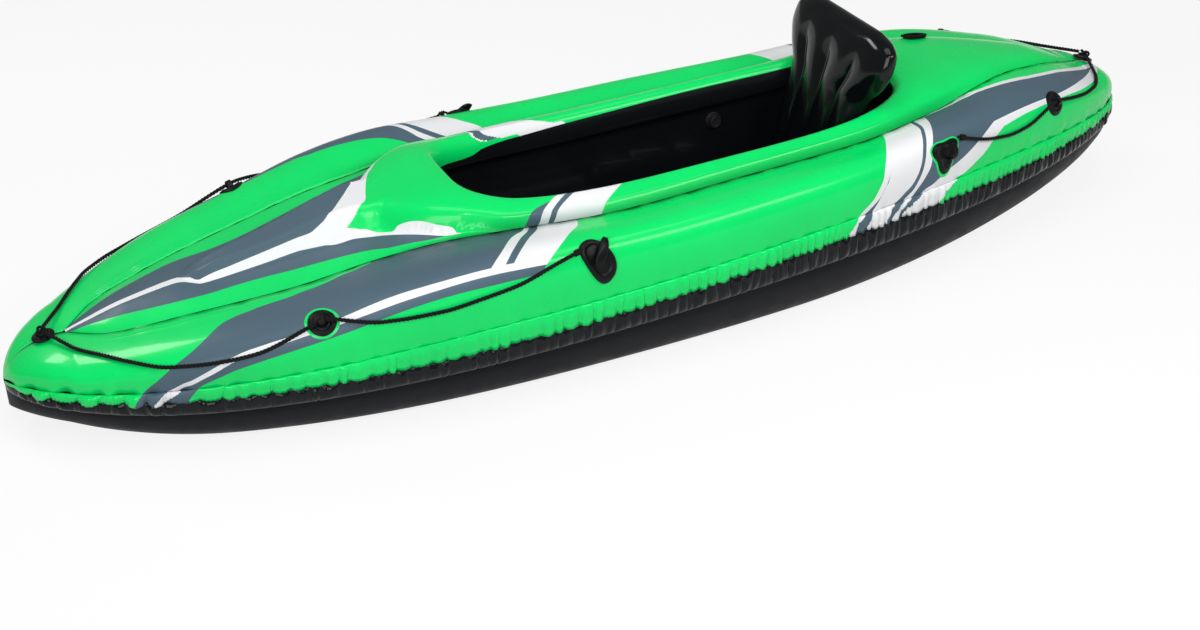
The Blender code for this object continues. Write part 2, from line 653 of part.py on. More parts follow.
def make_valves(looks):
    grow = GAP + LINER_THICKNESS + 2 * GAP
    wall = oval_half_width(VALVE_X, WELL_CENTRE, WELL_HALF_LENGTH, WELL_HALF_WIDTH, WELL_SQUARENESS)
    wall -= grow + 0.0004
    for name, side in (("port_valve", 1), ("starboard_valve", -1)):
        frame = frame_at((VALVE_X, side * wall, VALVE_Z), (0, -side, 0), (0, 0, 1))
        make_valve(name, frame, looks)
    reach = (FLOOR_VALVE_X - WELL_CENTRE) / (WELL_HALF_LENGTH * FLOOR_REACH)
    top = floor_top(reach, (FLOOR_RIBS * RIB_STEPS // 2) / RIB_STEPS) + 2 * GAP
    frame = frame_at((FLOOR_VALVE_X, 0.0, top), (0, 0, 1), (1, 0, 0))
    make_valve("floor_valve", frame, looks)
    back = backrest_matrix()
    half = backrest_bulge(0.25, 0.5) + GAP
    place = (-half, 0.25 * backrest_width(0.5), 0.5 * BACKREST_HEIGHT)
    frame = back @ frame_at(place, (-1, 0, 0), (0, 0, 1))
    make_valve("backrest_valve", frame, looks, SMALL_VALVE_SCALE, False)
    # The cushion's valve is on the crown of its front channel
    share = 1 - 1 / SEAT_CHANNELS
    x = (SEAT_FRONT + SEAT_REAR) / 2 + share * (SEAT_FRONT - SEAT_REAR) / 2
    lift = 0.010 * (1 - seat_swell(share, 0.0))
    top = FLOOR_HIGH + GAP + RIM + lift + seat_thickness(share, 0.0) + 2 * GAP
    frame = frame_at((x, 0.0, top), (0, 0, 1), (1, 0, 0))
    make_valve("seat_valve", frame, looks, SMALL_VALVE_SCALE, False)


def round_outline(turn):
    return EYELET_RADIUS


def oval_outline(turn):
    # Grab handle: a long oval with nearly straight sides
    half_length, half_width = 0.049, 0.030
    power = 2.4
    reach = (abs(cos(turn)) / half_length) ** power + (abs(sin(turn)) / half_width) ** power
    return reach ** (-1 / power)


def triangle_outline(turn):
    # Tie patch: a triangle with well rounded corners
    return 0.034 * (1 + 0.20 * cos(3 * turn))


# Patch sections from the middle of the underside, which follows the chamber, round to the top
UNDERSIDE = ((0.15, 0.0006), (0.45, 0.0006), (0.75, 0.0006), (1.0, 0.0006))
EYELET_PROFILE = ((1.0, 0.0020), (0.93, 0.0032), (0.80, 0.0034), (0.76, 0.0050), (0.62, 0.0052),
                  (0.56, 0.0036))
HANDLE_PROFILE = ((1.0, 0.0030), (0.93, 0.0070), (0.80, 0.0080), (0.70, 0.0066), (0.62, 0.0034),
                  (0.30, 0.0034))
PATCH_PROFILE = ((1.0, 0.0022), (0.90, 0.0040), (0.74, 0.0044), (0.66, 0.0030))


def make_side_fittings(looks):
    for side_name, side in (("port", 1), ("starboard", -1)):
        for end, centre, route in (("fore", FORE_EYELET, FORE_ROPE), ("aft", AFT_EYELET, AFT_ROPE)):
            name = side_name + "_" + end + "_eyelet"
            patch = add_mesh(name, tube_patch(centre, side, EYELET_PROFILE, round_outline), looks["fitting"])
            place, normal = tube_frame(centre[0], radians(centre[1]), side)[:2]
            step = route.index(centre)
            before = tube(route[step - 1][0], radians(route[step - 1][1]), side)
            after = tube(route[step + 1][0], radians(route[step + 1][1]), side)
            frame = frame_at(place, normal, after - before)
            bridge = add_mesh(name + "_bridge_shape", rope_bridge(frame), looks["fitting"])
            cut(patch, bridge, "UNION")
        make_handle(side_name, side, looks)
        make_tie_patch(side_name, side, looks)


def make_handle(side_name, side, looks):
    # An oval moulding with a raised rim, and a tongue across its middle to put the fingers round
    tilt = radians(60.0)
    shape = tube_patch(HANDLE, side, HANDLE_PROFILE, oval_outline, tilt, 24)
    patch = add_mesh(side_name + "_handle", shape, looks["fitting"])
    place, normal, ahead = tube_frame(HANDLE[0], radians(HANDLE[1]), side)[:3]
    frame = frame_at(place, normal, ahead) @ Matrix.Rotation(side * tilt, 4, "Z")
    rings = []
    for along, width, rise in ((-0.040, 0.007, 0.009), (-0.030, 0.010, 0.015), (-0.008, 0.011, 0.018),
                               (0.012, 0.0095, 0.0165), (0.018, 0.006, 0.013)):
        low = 0.0015 if along < -0.02 else 0.0085
        ring = [(-width, low), (width, low), (width, rise * 0.8), (width * 0.5, rise), (-width * 0.5, rise),
                (-width, rise * 0.8)]
        rings.append([frame @ Vector((along, y, z)) for y, z in ring])
    tongue = add_mesh(side_name + "_handle_tongue_shape", loft(rings), looks["fitting"])
    cut(patch, tongue, "UNION")


def make_tie_patch(side_name, side, looks):
    shape = tube_patch(TIE_PATCH, side, PATCH_PROFILE, triangle_outline, radians(-90))
    patch = add_mesh(side_name + "_tie_patch", shape, looks["fitting"])
    place, normal, ahead = tube_frame(TIE_PATCH[0], radians(TIE_PATCH[1]), side)[:3]
    frame = frame_at(place, normal, ahead) @ Matrix.Rotation(side * radians(60), 4, "Z")
    shape = rope_bridge(frame, 0.026, 0.015, 0.016)
    bridge = add_mesh(side_name + "_tie_bridge_shape", shape, looks["fitting"])
    cut(patch, bridge, "UNION")


def end_place(x):
    # A fitting on the centreline where the two side chambers meet, level with the skin there
    small = 0.01
    slope = (seam(x + small)[1] - seam(x - small)[1]) / (2 * small)
    return Vector((x, 0.0, seam(x)[1])), Vector((-slope, 0.0, 1.0)).normalized()


def make_end_eyelets(looks):
    for name, x in (("bow_eyelet", BOW_EYELET_X), ("stern_eyelet", STERN_EYELET_X)):
        place, normal = end_place(x)
        frame = frame_at(place + normal * END_EYELET_LIFT, normal, (1, 0, 0))
        profile = [(0.024, 0.0), (0.024, 0.0020), (0.0218, 0.0034), (0.018, 0.0036), (0.016, 0.0052),
                   (0.010, 0.0054)]
        add_mesh(name, turned(profile, frame, 18), looks["fitting"])
        knot = [(0.006, 0.0057), (0.0125, 0.0078), (END_KNOT_RADIUS, END_KNOT_HEIGHT), (0.0135, 0.0175),
                (0.0080, 0.0212)]
        add_mesh(name.replace("eyelet", "knot"), turned(knot, frame, 14), looks["rope"])


def rope_path(route, side, bridge_x):
    # The lifeline's line: on the skin, and lifted through the eyelet's bridge
    points = []
    for x, degrees in route:
        place, normal = tube_frame(x, radians(degrees), side)[:2]
        near = exp(-((x - bridge_x) / BRIDGE_REACH) ** 2)
        rise = ROPE_RADIUS + ROPE_CLEARANCE
        points.append(place + normal * (rise + (BRIDGE_ROPE_HEIGHT - rise) * near))
    return points


def beside_end_knot(x, towards):
    # Where a rope stops against the side of an end eyelet's knot
    place, normal = end_place(x)
    middle = place + normal * (END_EYELET_LIFT + END_KNOT_HEIGHT)
    away = towards - middle
    away = (away - normal * away.dot(normal)).normalized()
    return middle + away * (END_KNOT_RADIUS + 2 * GAP)


def smoothed(points):
    # The route's points, with one more from a Catmull-Rom curve in the middle of each long span
    ends = [points[0] * 2 - points[1]] + points + [points[-1] * 2 - points[-2]]
    places = [points[0]]
    for before, first, second, after in zip(ends, ends[1:], ends[2:], ends[3:]):
        if (second - first).length > ROPE_LONGEST_SPAN:
            places.append((9 * (first + second) - before - after) / 16)
        places.append(second)
    length = sum((second - first).length for first, second in zip(places, places[1:]))
    return places, length


def add_cord(name, places, radius, resolution, material):
    data = bpy.data.curves.new(name, "CURVE")
    data.dimensions = "3D"
    data.bevel_depth = radius
    data.bevel_resolution = resolution
    data.use_fill_caps = True
    spline = data.splines.new("POLY")
    spline.points.add(len(places) - 1)
    for point, place in zip(spline.points, places):
        point.co = (*place, 1.0)
    item = bpy.data.objects.new(name, data)
    data.materials.append(material)
    bpy.context.scene.collection.objects.link(item)
    return item


def make_ropes(looks):
    for side_name, side in (("port", 1), ("starboard", -1)):
        for end, route, bridge_x in (("fore", FORE_ROPE, FORE_EYELET[0]), ("aft", AFT_ROPE, AFT_EYELET[0])):
            path = rope_path(route, side, bridge_x)
            if end == "fore":
                path.insert(0, beside_end_knot(BOW_EYELET_X, path[0]))
            else:
                path.append(beside_end_knot(STERN_EYELET_X, path[-1]))
            places, length = smoothed(path)
            name = side_name + "_" + end + "_rope"
            add_cord(name, places, ROPE_RADIUS, 2, looks["rope"])
            print(name, "length", round(length, 3))
        for name, route in (("handle", FORE_ROPE), ("tie", AFT_ROPE)):
            make_knot(side_name + "_" + name + "_knot", route, name == "tie", side, looks)


def make_knot(name, route, at_start, side, looks):
    # A stopper knot just past the rope's end
    order = route[:2] if at_start else (route[-1], route[-2])
    ends = [tube_frame(x, radians(degrees), side) for x, degrees in order]
    rise = ROPE_RADIUS + ROPE_CLEARANCE
    tip = ends[0][0] + ends[0][1] * rise
    along = (tip - (ends[1][0] + ends[1][1] * rise)).normalized()
    frame = frame_at(tip + along * GAP, along, ends[0][1])
    profile = [(0.0040, 0.0), (0.0072, 0.0035), (0.0080, 0.0080), (0.0066, 0.0130), (0.0036, 0.0165)]
    lift = Matrix.Translation(ends[0][1] * 0.0026)
    add_mesh(name, turned(profile, lift @ frame, 12), looks["rope"])


def hank_points():
    # Loops that spiral out and in again, layer on layer, climbing half a turn at each reversal
    points = []
    turns_in_layer = HANK_TURNS
    steps = turns_in_layer * POINTS_PER_TURN
    climb = POINTS_PER_TURN // 2
    for layer in range(HANK_LAYERS):
        for i in range(steps):
            t = i / POINTS_PER_TURN
            out = t if layer % 2 == 0 else turns_in_layer - t
            turn = 2 * pi * (layer * turns_in_layer + t)
            radius = HANK_INNER + HANK_STEP * out
            rise = layer
            left = steps - i
            if layer < HANK_LAYERS - 1 and left <= climb:
                share = 1 - left / climb
                rise = layer + 0.5 - 0.5 * cos(pi * share)
            points.append((1.25 * radius * cos(turn), 0.9 * radius * sin(turn), HANK_RISE * rise))
    return points


def least_self_gap(points, radius):
    # Least clear distance between parts of the cord that are more than a third of a turn apart
    places = np.array(points)
    apart = POINTS_PER_TURN // 3
    least = 1.0
    for i in range(len(places) - apart):
        distances = np.linalg.norm(places[i + apart:] - places[i], axis=1)
        least = min(least, float(distances.min()))
    return least - 2 * radius


def make_hank(looks):
    x, y = HANK_PLACE
    small = 0.01
    slope_x = (deck(x + small, y) - deck(x - small, y)) / (2 * small)
    slope_y = (deck(x, y + small) - deck(x, y - small)) / (2 * small)
    normal = Vector((-slope_x, -slope_y, 1.0)).normalized()
    frame = frame_at(Vector((x, y, deck(x, y))) + normal * HANK_LIFT, normal, (1, 0.4, 0))
    local = hank_points()
    print("tie_cord_hank least gap to itself, mm", round(1000 * least_self_gap(local, HANK_CORD_RADIUS), 2))
    places = [frame @ Vector(point) for point in local]
    add_cord("tie_cord_hank", places, HANK_CORD_RADIUS, 1, looks["rope"])


def main():
    remove_everything()
    looks = make_materials()
    make_side_chambers(looks)
    make_deck(looks)
    make_bottom(looks)
    make_cockpit_lining(looks)
    make_floor(looks)
    make_bands(looks)
    make_seat(looks)
    make_backrest(looks)
    make_valves(looks)
    make_side_fittings(looks)
    make_end_eyelets(looks)
    make_ropes(looks)
    make_hank(looks)


main()
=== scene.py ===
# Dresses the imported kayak: printed vinyl skins, gathered bands, cushions, valves, ropes and fittings.
# Metres, +X to the bow, +Y to port, +Z up.
from math import asin, cos, exp, pi, radians, sin

import bmesh
import bpy
import numpy as np
from mathutils import Matrix, Vector, kdtree
from mathutils.geometry import delaunay_2d_cdt


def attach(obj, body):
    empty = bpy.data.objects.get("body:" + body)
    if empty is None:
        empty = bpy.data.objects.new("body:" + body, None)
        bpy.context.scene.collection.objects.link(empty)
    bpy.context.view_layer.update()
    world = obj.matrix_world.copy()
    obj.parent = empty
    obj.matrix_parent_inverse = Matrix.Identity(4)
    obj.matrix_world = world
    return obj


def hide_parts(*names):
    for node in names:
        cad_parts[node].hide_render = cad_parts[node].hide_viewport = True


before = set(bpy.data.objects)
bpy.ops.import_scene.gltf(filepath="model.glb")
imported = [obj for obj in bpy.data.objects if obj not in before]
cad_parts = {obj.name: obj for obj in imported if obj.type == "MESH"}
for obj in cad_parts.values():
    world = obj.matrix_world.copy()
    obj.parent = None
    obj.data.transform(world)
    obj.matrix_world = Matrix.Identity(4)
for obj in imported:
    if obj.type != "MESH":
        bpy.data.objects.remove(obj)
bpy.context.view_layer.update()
print("frame loaded:", len(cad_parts), "nodes")

cameraSettings = {
    "place": (1.60238, 3.43049, 2.12815),
    "yaw": -1.99983,
    "pitch": 0.53184,
    "roll": -0.01914,
    "focalPixels": 1880.71776,
    "imageWidth": 1200,
}


def makeCamera(settings):
    yaw, pitch, roll = settings["yaw"], settings["pitch"], settings["roll"]
    forward = Vector((cos(pitch) * cos(yaw), cos(pitch) * sin(yaw), -sin(pitch)))
    right = forward.cross(Vector((0, 0, 1))).normalized()
    up = right.cross(forward)
    across = cos(roll) * right + sin(roll) * up
    upright = -sin(roll) * right + cos(roll) * up
    data = bpy.data.cameras.new("camera")
    data.sensor_width = 36.0
    data.lens = settings["focalPixels"] / settings["imageWidth"] * data.sensor_width
    matrix = Matrix((across, upright, -forward)).transposed().to_4x4()
    matrix.translation = settings["place"]
    item = linked("camera", data)
    item.matrix_world = matrix
    bpy.context.scene.camera = item


def linked(name, data):
    item = bpy.data.objects.new(name, data)
    bpy.context.scene.collection.objects.link(item)
    return item


sides = (("port", 1), ("starboard", -1))

# hull laws, as in the solids: values at stations along x
hull = {
    "halfLength": 1.36, "halfBeam": 0.386, "widestX": 0.20,
    "bowPower": 2.4, "bowRoot": 1.6, "sternPower": 2.1, "sternRoot": 2.0,
    "seamBow": (1.227, 0.186), "seamStern": (-1.262, 0.295),
    "chineHeight": ((-1.36, 0.208), (-0.8, 0.198), (-0.4, 0.184), (0.0, 0.163), (0.4, 0.145), (1.0, 0.122),
                    (1.36, 0.108)),
    "seamWidth": ((-1.262, 0.001), (-1.15, 0.048), (-1.0, 0.100), (-0.86, 0.155), (-0.7, 0.205), (-0.5, 0.228),
                  (-0.2, 0.236), (0.1, 0.244), (0.35, 0.219), (0.55, 0.192), (0.72, 0.1775), (0.9, 0.1455),
                  (1.06, 0.105), (1.15, 0.072), (1.227, 0.001)),
    "seamHeight": ((-1.262, 0.295), (-1.1, 0.342), (-0.9, 0.366), (-0.7, 0.350), (-0.5, 0.330), (-0.2, 0.318),
                   (0.1, 0.309), (0.4, 0.310), (0.6, 0.2945), (0.8, 0.2605), (1.0, 0.230), (1.227, 0.186)),
    "crestHeight": ((-1.262, 0.297), (-1.1, 0.362), (-0.9, 0.394), (-0.75, 0.400), (-0.5, 0.376), (-0.2, 0.362),
                    (0.1, 0.353), (0.3, 0.360), (0.43, 0.374), (0.56, 0.352), (0.72, 0.322), (0.94, 0.272),
                    (1.1, 0.228), (1.227, 0.189)),
    "tubeLift": ((-1.36, 0.0), (-0.9, 0.008), (-0.6, 0.024), (0.0, 0.0285), (0.25, 0.031), (0.45, 0.0345),
                 (0.55, 0.0335), (0.75, 0.025), (0.9, 0.021), (1.0, 0.0175), (1.15, 0.009), (1.36, 0.0)),
    "tubeBulge": ((-1.36, 0.012), (0.0, 0.012), (0.25, 0.013), (0.45, 0.021), (0.55, 0.0235), (0.75, 0.023),
                  (0.9, 0.025), (1.0, 0.026), (1.15, 0.021), (1.36, 0.012)),
    "tubeSquareness": 3.2, "tubeWidth": 0.14, "tubeHeight": 0.16,
    "bilgeWidth": 0.085, "bilgeSquareness": 2.4,
    "bowRocker": (0.95, 0.050, 2.0), "sternRocker": (0.30, 0.120, 1.8),
}


def smoothCurve(knots):
    # a curve through the knots that never overshoots them, kept as a fine table
    xs = np.array([knot[0] for knot in knots])
    ys = np.array([knot[1] for knot in knots])
    steps = np.diff(xs)
    slopes = np.diff(ys) / steps
    tangents = np.zeros(len(xs))
    tangents[0], tangents[-1] = slopes[0], slopes[-1]
    for i in range(1, len(xs) - 1):
        if slopes[i - 1] * slopes[i] > 0:
            before = 2 * steps[i] + steps[i - 1]
            after = steps[i] + 2 * steps[i - 1]
            tangents[i] = (before + after) / (before / slopes[i - 1] + after / slopes[i])
    fine = np.linspace(xs[0], xs[-1], 3000)
    i = np.clip(np.searchsorted(xs, fine, "right") - 1, 0, len(xs) - 2)
    t = (fine - xs[i]) / steps[i]
    left = ys[i] * (1 + 2 * t) * (1 - t) ** 2 + steps[i] * tangents[i] * t * (1 - t) ** 2
    right = ys[i + 1] * t * t * (3 - 2 * t) + steps[i] * tangents[i + 1] * t * t * (t - 1)
    table = left + right
    return lambda x: np.interp(x, fine, table)


chineHeight, seamWidth, seamHeight, crestHeight, tubeLift, tubeBulge = (
    smoothCurve(hull[law])
    for law in ("chineHeight", "seamWidth", "seamHeight", "crestHeight", "tubeLift", "tubeBulge"))


def halfBeam(x):
    widest, reach = hull["widestX"], hull["halfLength"]
    fore = np.clip((x - widest) / (reach - widest), 0, 1)
    aft = np.clip((widest - x) / (reach + widest), 0, 1)
    bow = (1 - fore ** hull["bowPower"]) ** (1 / hull["bowRoot"])
    stern = (1 - aft ** hull["sternPower"]) ** (1 / hull["sternRoot"])
    return hull["halfBeam"] * np.where(np.asarray(x) >= widest, bow, stern)


def seamAt(x):
    # half width and height of the deck weld; past its ends the side chambers meet and round down
    x = np.asarray(x, float)
    chine = chineHeight(x)
    bowX, bowZ = hull["seamBow"]
    sternX, sternZ = hull["seamStern"]
    fore = np.clip((x - bowX) / (hull["halfLength"] - bowX), 0, 1)
    aft = np.clip((sternX - x) / (hull["halfLength"] + sternX), 0, 1)
    height = np.where(x > bowX, chine + (bowZ - chine) * np.sqrt(1 - fore ** 2), seamHeight(x))
    height = np.where(x < sternX, chine + (sternZ - chine) * np.sqrt(1 - aft ** 2), height)
    width = np.where((x > bowX) | (x < sternX), 0.0, seamWidth(x))
    return width, height


def tubePlace(x, angle, side):
    # skin of a side chamber: angle 0 at the deck weld, a right angle at the chine
    width, height = seamAt(x)
    beam, chine = halfBeam(x), chineHeight(x)
    power = 2 / hull["tubeSquareness"]
    across = np.clip(np.sin(angle), 0, 1) ** power
    up = np.clip(np.cos(angle), 0, 1) ** power
    swell = np.sin(2 * np.asarray(angle))
    y = width + (beam - width) * (across + tubeBulge(x) * swell / hull["tubeWidth"])
    z = chine + (height - chine) * (up + tubeLift(x) * swell / hull["tubeHeight"])
    return np.stack(np.broadcast_arrays(x, side * y, z), -1).astype(float)


def bilgePlace(x, angle, side):
    # skin of the bottom chamber: angle 0 at the chine, a right angle at the flat bottom
    beam, chine = halfBeam(x), chineHeight(x)
    width = np.minimum(hull["bilgeWidth"], 0.6 * beam)
    power = 2 / hull["bilgeSquareness"]
    y = beam - width + width * np.clip(np.cos(angle), 0, 1) ** power
    z = chine - (chine - rockerAt(x)) * np.clip(np.sin(angle), 0, 1) ** power
    return np.stack(np.broadcast_arrays(x, side * y, z), -1).astype(float)


def rockerAt(x):
    x = np.asarray(x, float)
    start, rise, power = hull["bowRocker"]
    bow = rise * (np.clip(x - start, 0, None) / (hull["halfLength"] - start)) ** power
    start, rise, power = hull["sternRocker"]
    return bow + rise * (np.clip(-x - start, 0, None) / (hull["halfLength"] - start)) ** power


def skinNormals(place, first, second, side):
    # outward normals of a skin by small steps along its two directions
    small = 0.002
    ahead = place(first + small, second, side) - place(first - small, second, side)
    roundIt = place(first, second + small, side) - place(first, second - small, side)
    normal = np.cross(ahead, roundIt)
    normal /= np.maximum(np.linalg.norm(normal, axis=-1, keepdims=True), 1e-12)
    flip = np.where(normal[..., 1:2] * side < 0, -1.0, 1.0)
    return normal * flip


def waves(x, pitch, phase=0.0):
    # an uneven ripple of about one unit, the same on each run
    k = 2 * pi / pitch
    return (0.55 * np.sin(k * x + phase) + 0.30 * np.sin(1.71 * k * x + 2.1 * phase + 1.3)
            + 0.22 * np.sin(0.53 * k * x + 0.7 * phase + 4.0))


# materials

vinylColours = {
    "green": (0.0012, 0.770, 0.150), "grey": (0.082, 0.135, 0.176), "white": (0.86, 0.865, 0.885),
    "black": (0.0058, 0.0066, 0.0080), "bottom": (0.0160, 0.0165, 0.0190), "moulded": (0.0046, 0.0050, 0.0054),
    "pad": (0.0030, 0.0036, 0.0044),
    "rope": (0.0040, 0.0042, 0.0045), "valve": (0.016, 0.016, 0.018),
}


def newMaterial(name):
    material = bpy.data.materials.new(name)
    material.use_nodes = True
    return material, material.node_tree, material.node_tree.nodes["Principled BSDF"]


def setInputs(tree, node, inputs):
    # each input takes a value, or a link from another node's output
    for key, value in inputs.items():
        if isinstance(value, bpy.types.NodeSocket):
            tree.links.new(value, node.inputs[key])
        else:
            node.inputs[key].default_value = value
    return node


def addNode(tree, kind, inputs=None, **settings):
    node = tree.nodes.new(kind)
    for key, value in settings.items():
        setattr(node, key, value)
    return setInputs(tree, node, inputs or {})


def scaled(colour, factor):
    return (*[min(c * factor, 1) for c in colour], 1)


def noise(tree, scale, detail, roughness):
    place = addNode(tree, "ShaderNodeTexCoord").outputs["Object"]
    texture = addNode(tree, "ShaderNodeTexNoise",
                      {"Vector": place, "Scale": scale, "Detail": detail, "Roughness": roughness})
    return texture.outputs["Fac"]


def spread(tree, source, low, high):
    # maps a noise's middle range to two limits
    remap = addNode(tree, "ShaderNodeMapRange",
                    {"Value": source, "From Min": 0.3, "From Max": 0.7, "To Min": low, "To Max": high})
    return remap.outputs["Result"]


# the last colour multiplies the vinyl's colour as painted shade in the creases along the welds
vinylTexture = {
    "cloud": (5.0, 2.0, 0.5), "marks": (26.0, 5.0, 0.62), "peel": (60.0, 2.0, 0.5), "emboss": (900.0, 1.0, 0.5),
    "embossShare": 0.12, "reliefDepth": 0.002, "shiniest": 0.82, "dullest": 1.22, "creaseShadeColour": (0.40, 0.50, 0.46, 1),
}


def vinyl(name, tone, roughness, grain=0.05, vary=0.10, specular=0.3, coat=0.0, coatRoughness=0.08):
    # soft sheet vinyl: faint cloudy colour, painted shade darkening the creases along the welds, orange peel, fine
    # emboss and handling marks
    t, colour = vinylTexture, vinylColours[tone]
    material, tree, shader = newMaterial(name)
    cloudy = addNode(tree, "ShaderNodeMix", {"Factor": noise(tree, *t["cloud"]), "A": scaled(colour, 1 - vary),
                                             "B": scaled(colour, 1 + vary)}, data_type="RGBA")
    # painted shade: a point attribute on the skins darkens the colour in the creases along the welds
    creaseShadeMask = addNode(tree, "ShaderNodeAttribute", attribute_name="paintedCreaseShade")
    creaseShaded = addNode(tree, "ShaderNodeMix", {"Factor": creaseShadeMask.outputs["Fac"], "A": cloudy.outputs["Result"],
                                           "B": t["creaseShadeColour"]}, data_type="RGBA", blend_type="MULTIPLY")
    relief = addNode(tree, "ShaderNodeMath", {0: noise(tree, *t["emboss"]), 1: t["embossShare"],
                                              2: noise(tree, *t["peel"])}, operation="MULTIPLY_ADD")
    bump = addNode(tree, "ShaderNodeBump", {"Strength": grain, "Distance": t["reliefDepth"],
                                            "Height": relief.outputs["Value"]})
    marks = spread(tree, noise(tree, *t["marks"]), roughness * t["shiniest"], roughness * t["dullest"])
    setInputs(tree, shader, {"Base Color": creaseShaded.outputs["Result"], "Roughness": marks,
                             "Normal": bump.outputs["Normal"], "Specular IOR Level": specular,
                             "Coat Weight": coat, "Coat Roughness": coatRoughness})
    return material


ropeTexture = {"fibre": (700.0, 4.0, 0.7), "darkest": 0.55, "lightest": 2.2, "relief": 0.5, "reliefDepth": 0.0006,
               "shiniest": 0.6, "dullest": 0.85, "sheen": 0.03, "specular": 0.18}


def ropeFibre(name, tone):
    # twisted rope yarn: fine lengthwise fibres and dull tips
    t = ropeTexture
    material, tree, shader = newMaterial(name)
    fibre = noise(tree, *t["fibre"])
    ramp = addNode(tree, "ShaderNodeValToRGB", {"Fac": fibre})
    for stop, factor in zip(ramp.color_ramp.elements, (t["darkest"], t["lightest"])):
        stop.color = scaled(vinylColours[tone], factor)
    bump = addNode(tree, "ShaderNodeBump", {"Strength": t["relief"], "Distance": t["reliefDepth"], "Height": fibre})
    setInputs(tree, shader, {"Base Color": ramp.outputs["Color"], "Normal": bump.outputs["Normal"],
                             "Roughness": spread(tree, fibre, t["shiniest"], t["dullest"]),
                             "Sheen Weight": t["sheen"], "Specular IOR Level": t["specular"]})
    return material


greenVinyl = vinyl("greenVinyl", "green", 0.30, specular=0.10, coat=0.32, coatRoughness=0.11)
greyPrint = vinyl("greyPrint", "grey", 0.36, specular=0.12, coat=0.08, coatRoughness=0.2)
whitePrint = vinyl("whitePrint", "white", 0.36, vary=0.03, specular=0.2, coat=0.08, coatRoughness=0.25)
blackVinyl = vinyl("blackVinyl", "black", 0.22, specular=0.2, coat=0.18, coatRoughness=0.06)
floorVinyl = vinyl("floorVinyl", "black", 0.40, specular=0.5, coat=0.8, coatRoughness=0.28)
padVinyl = vinyl("padVinyl", "pad", 0.10, grain=0.03, specular=0.26)
glossBlackVinyl = vinyl("glossBlackVinyl", "black", 0.11, 0.06, specular=0.12, coat=0.12, coatRoughness=0.04)
bottomVinyl = vinyl("bottomVinyl", "bottom", 0.46, grain=0.12, specular=0.06)
mouldedVinyl = vinyl("mouldedVinyl", "moulded", 0.36, grain=0.16, specular=0.14)
valvePlastic = vinyl("valvePlastic", "valve", 0.40, grain=0.10)
blackRope = ropeFibre("blackRope", "rope")
printInks = [greenVinyl, greyPrint, whitePrint]
green, grey, white = 0, 1, 2
print("materials made")


def plainMesh(name, vertices, faces):
    mesh = bpy.data.meshes.new(name)
    mesh.from_pydata([tuple(map(float, v)) for v in vertices], [], [tuple(map(int, f)) for f in faces])
    return mesh


def settle(item, body, replaced):
    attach(item, body)
    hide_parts(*replaced)
    return item


def addPiece(name, vertices, faces, materials, body, slot, replaced, inks=None):
    return addMesh(name, plainMesh(name, vertices, faces), materials, body, replaced, inks)


def addMesh(name, mesh, materials, body, replaced, inks=None):
    for material in materials:
        mesh.materials.append(material)
    if inks is not None:
        mesh.polygons.foreach_set("material_index", np.asarray(inks, np.int32))
    mesh.shade_smooth()
    mesh.update()
    return settle(linked(name, mesh), body, replaced)


def thicken(item, thickness=0.0009):
    # a sheet gets its real thickness on its inner side
    solid = item.modifiers.new("thickness", "SOLIDIFY")
    solid.thickness = thickness
    solid.offset = -1.0


def faceOutward(mesh):
    shape = bmesh.new()
    shape.from_mesh(mesh)
    bmesh.ops.recalc_face_normals(shape, faces=shape.faces)
    shape.to_mesh(mesh)
    shape.free()


def paintCreaseShade(item, tone):
    # painted shade: how much each point's colour is darkened for the shade in the crease along a weld, from 0 to 1 in
    # the weld itself
    layer = item.data.attributes.new("paintedCreaseShade", "FLOAT", "POINT")
    layer.data.foreach_set("value", np.asarray(tone, np.float32))


creaseShadeFading = {"middle": -0.1, "start": 0.55, "reach": 0.2, "share": 0.8}


def creaseShadeFade(x):
    # the painted crease shade grows fainter towards the ends
    w = creaseShadeFading
    return 1 - w["share"] * easeStep((np.abs(x - w["middle"]) - w["start"]) / w["reach"])


def gridFaces(rows, columns, closed=False, flip=False):
    faces = []
    for i in range(rows - 1):
        for k in range(columns if closed else columns - 1):
            a, b = i * columns + k, i * columns + (k + 1) % columns
            c, d = b + columns, a + columns
            faces.append((a, d, c, b) if flip else (a, b, c, d))
    return faces


def cappedFaces(rings, count, flip=False):
    # faces of a closed shape made of rings, with its two ends filled
    ends = [range(count)[::1 if flip else -1], range(count * (rings - 1), count * rings)[::-1 if flip else 1]]
    return gridFaces(rings, count, True, flip) + [tuple(ring) for ring in ends]


def signedPower(value, power):
    return np.sign(value) * np.abs(value) ** power


# printed sheets: the outline and the edges of the print are edges of the mesh

def curved(points, parts=4):
    # a smooth line through the points
    p = [np.array(q, float) for q in points]
    if len(p) < 3:
        return [tuple(q) for q in p]
    p = [2 * p[0] - p[1]] + p + [2 * p[-1] - p[-2]]
    line = []
    for before, first, second, after in zip(p, p[1:], p[2:], p[3:]):
        for k in range(parts):
            t = k / parts
            line.append(tuple(0.5 * (2 * first + (second - before) * t
                                     + (2 * before - 5 * first + 4 * second - after) * t * t
                                     + (3 * first - before - 3 * second + after) * t ** 3)))
    line.append(tuple(p[-2]))
    return line


def inside(points, loop):
    loop = np.asarray(loop)
    x, y = points[:, 0], points[:, 1]
    result = np.zeros(len(points), bool)
    for (x1, y1), (x2, y2) in zip(loop, np.roll(loop, -1, axis=0)):
        if y1 == y2:
            continue
        crosses = (y1 > y) != (y2 > y)
        result ^= crosses & (x < (x2 - x1) * (y - y1) / (y2 - y1) + x1)
    return result


def inkAt(points, layers):
    inks = np.zeros(len(points), np.int32)
    for ink, loop in layers:
        inks[inside(points, loop)] = ink
    return inks


def denseLoop(loop, step):
    points = []
    for first, second in zip(loop, loop[1:] + loop[:1]):
        first, second = np.array(first), np.array(second)
        parts = max(1, int(np.ceil(np.linalg.norm(second - first) / step)))
        points += [first + (second - first) * k / parts for k in range(parts)]
    return points


sheetSettings = {"clearShare": 0.42, "sameWithin": 1e-7}


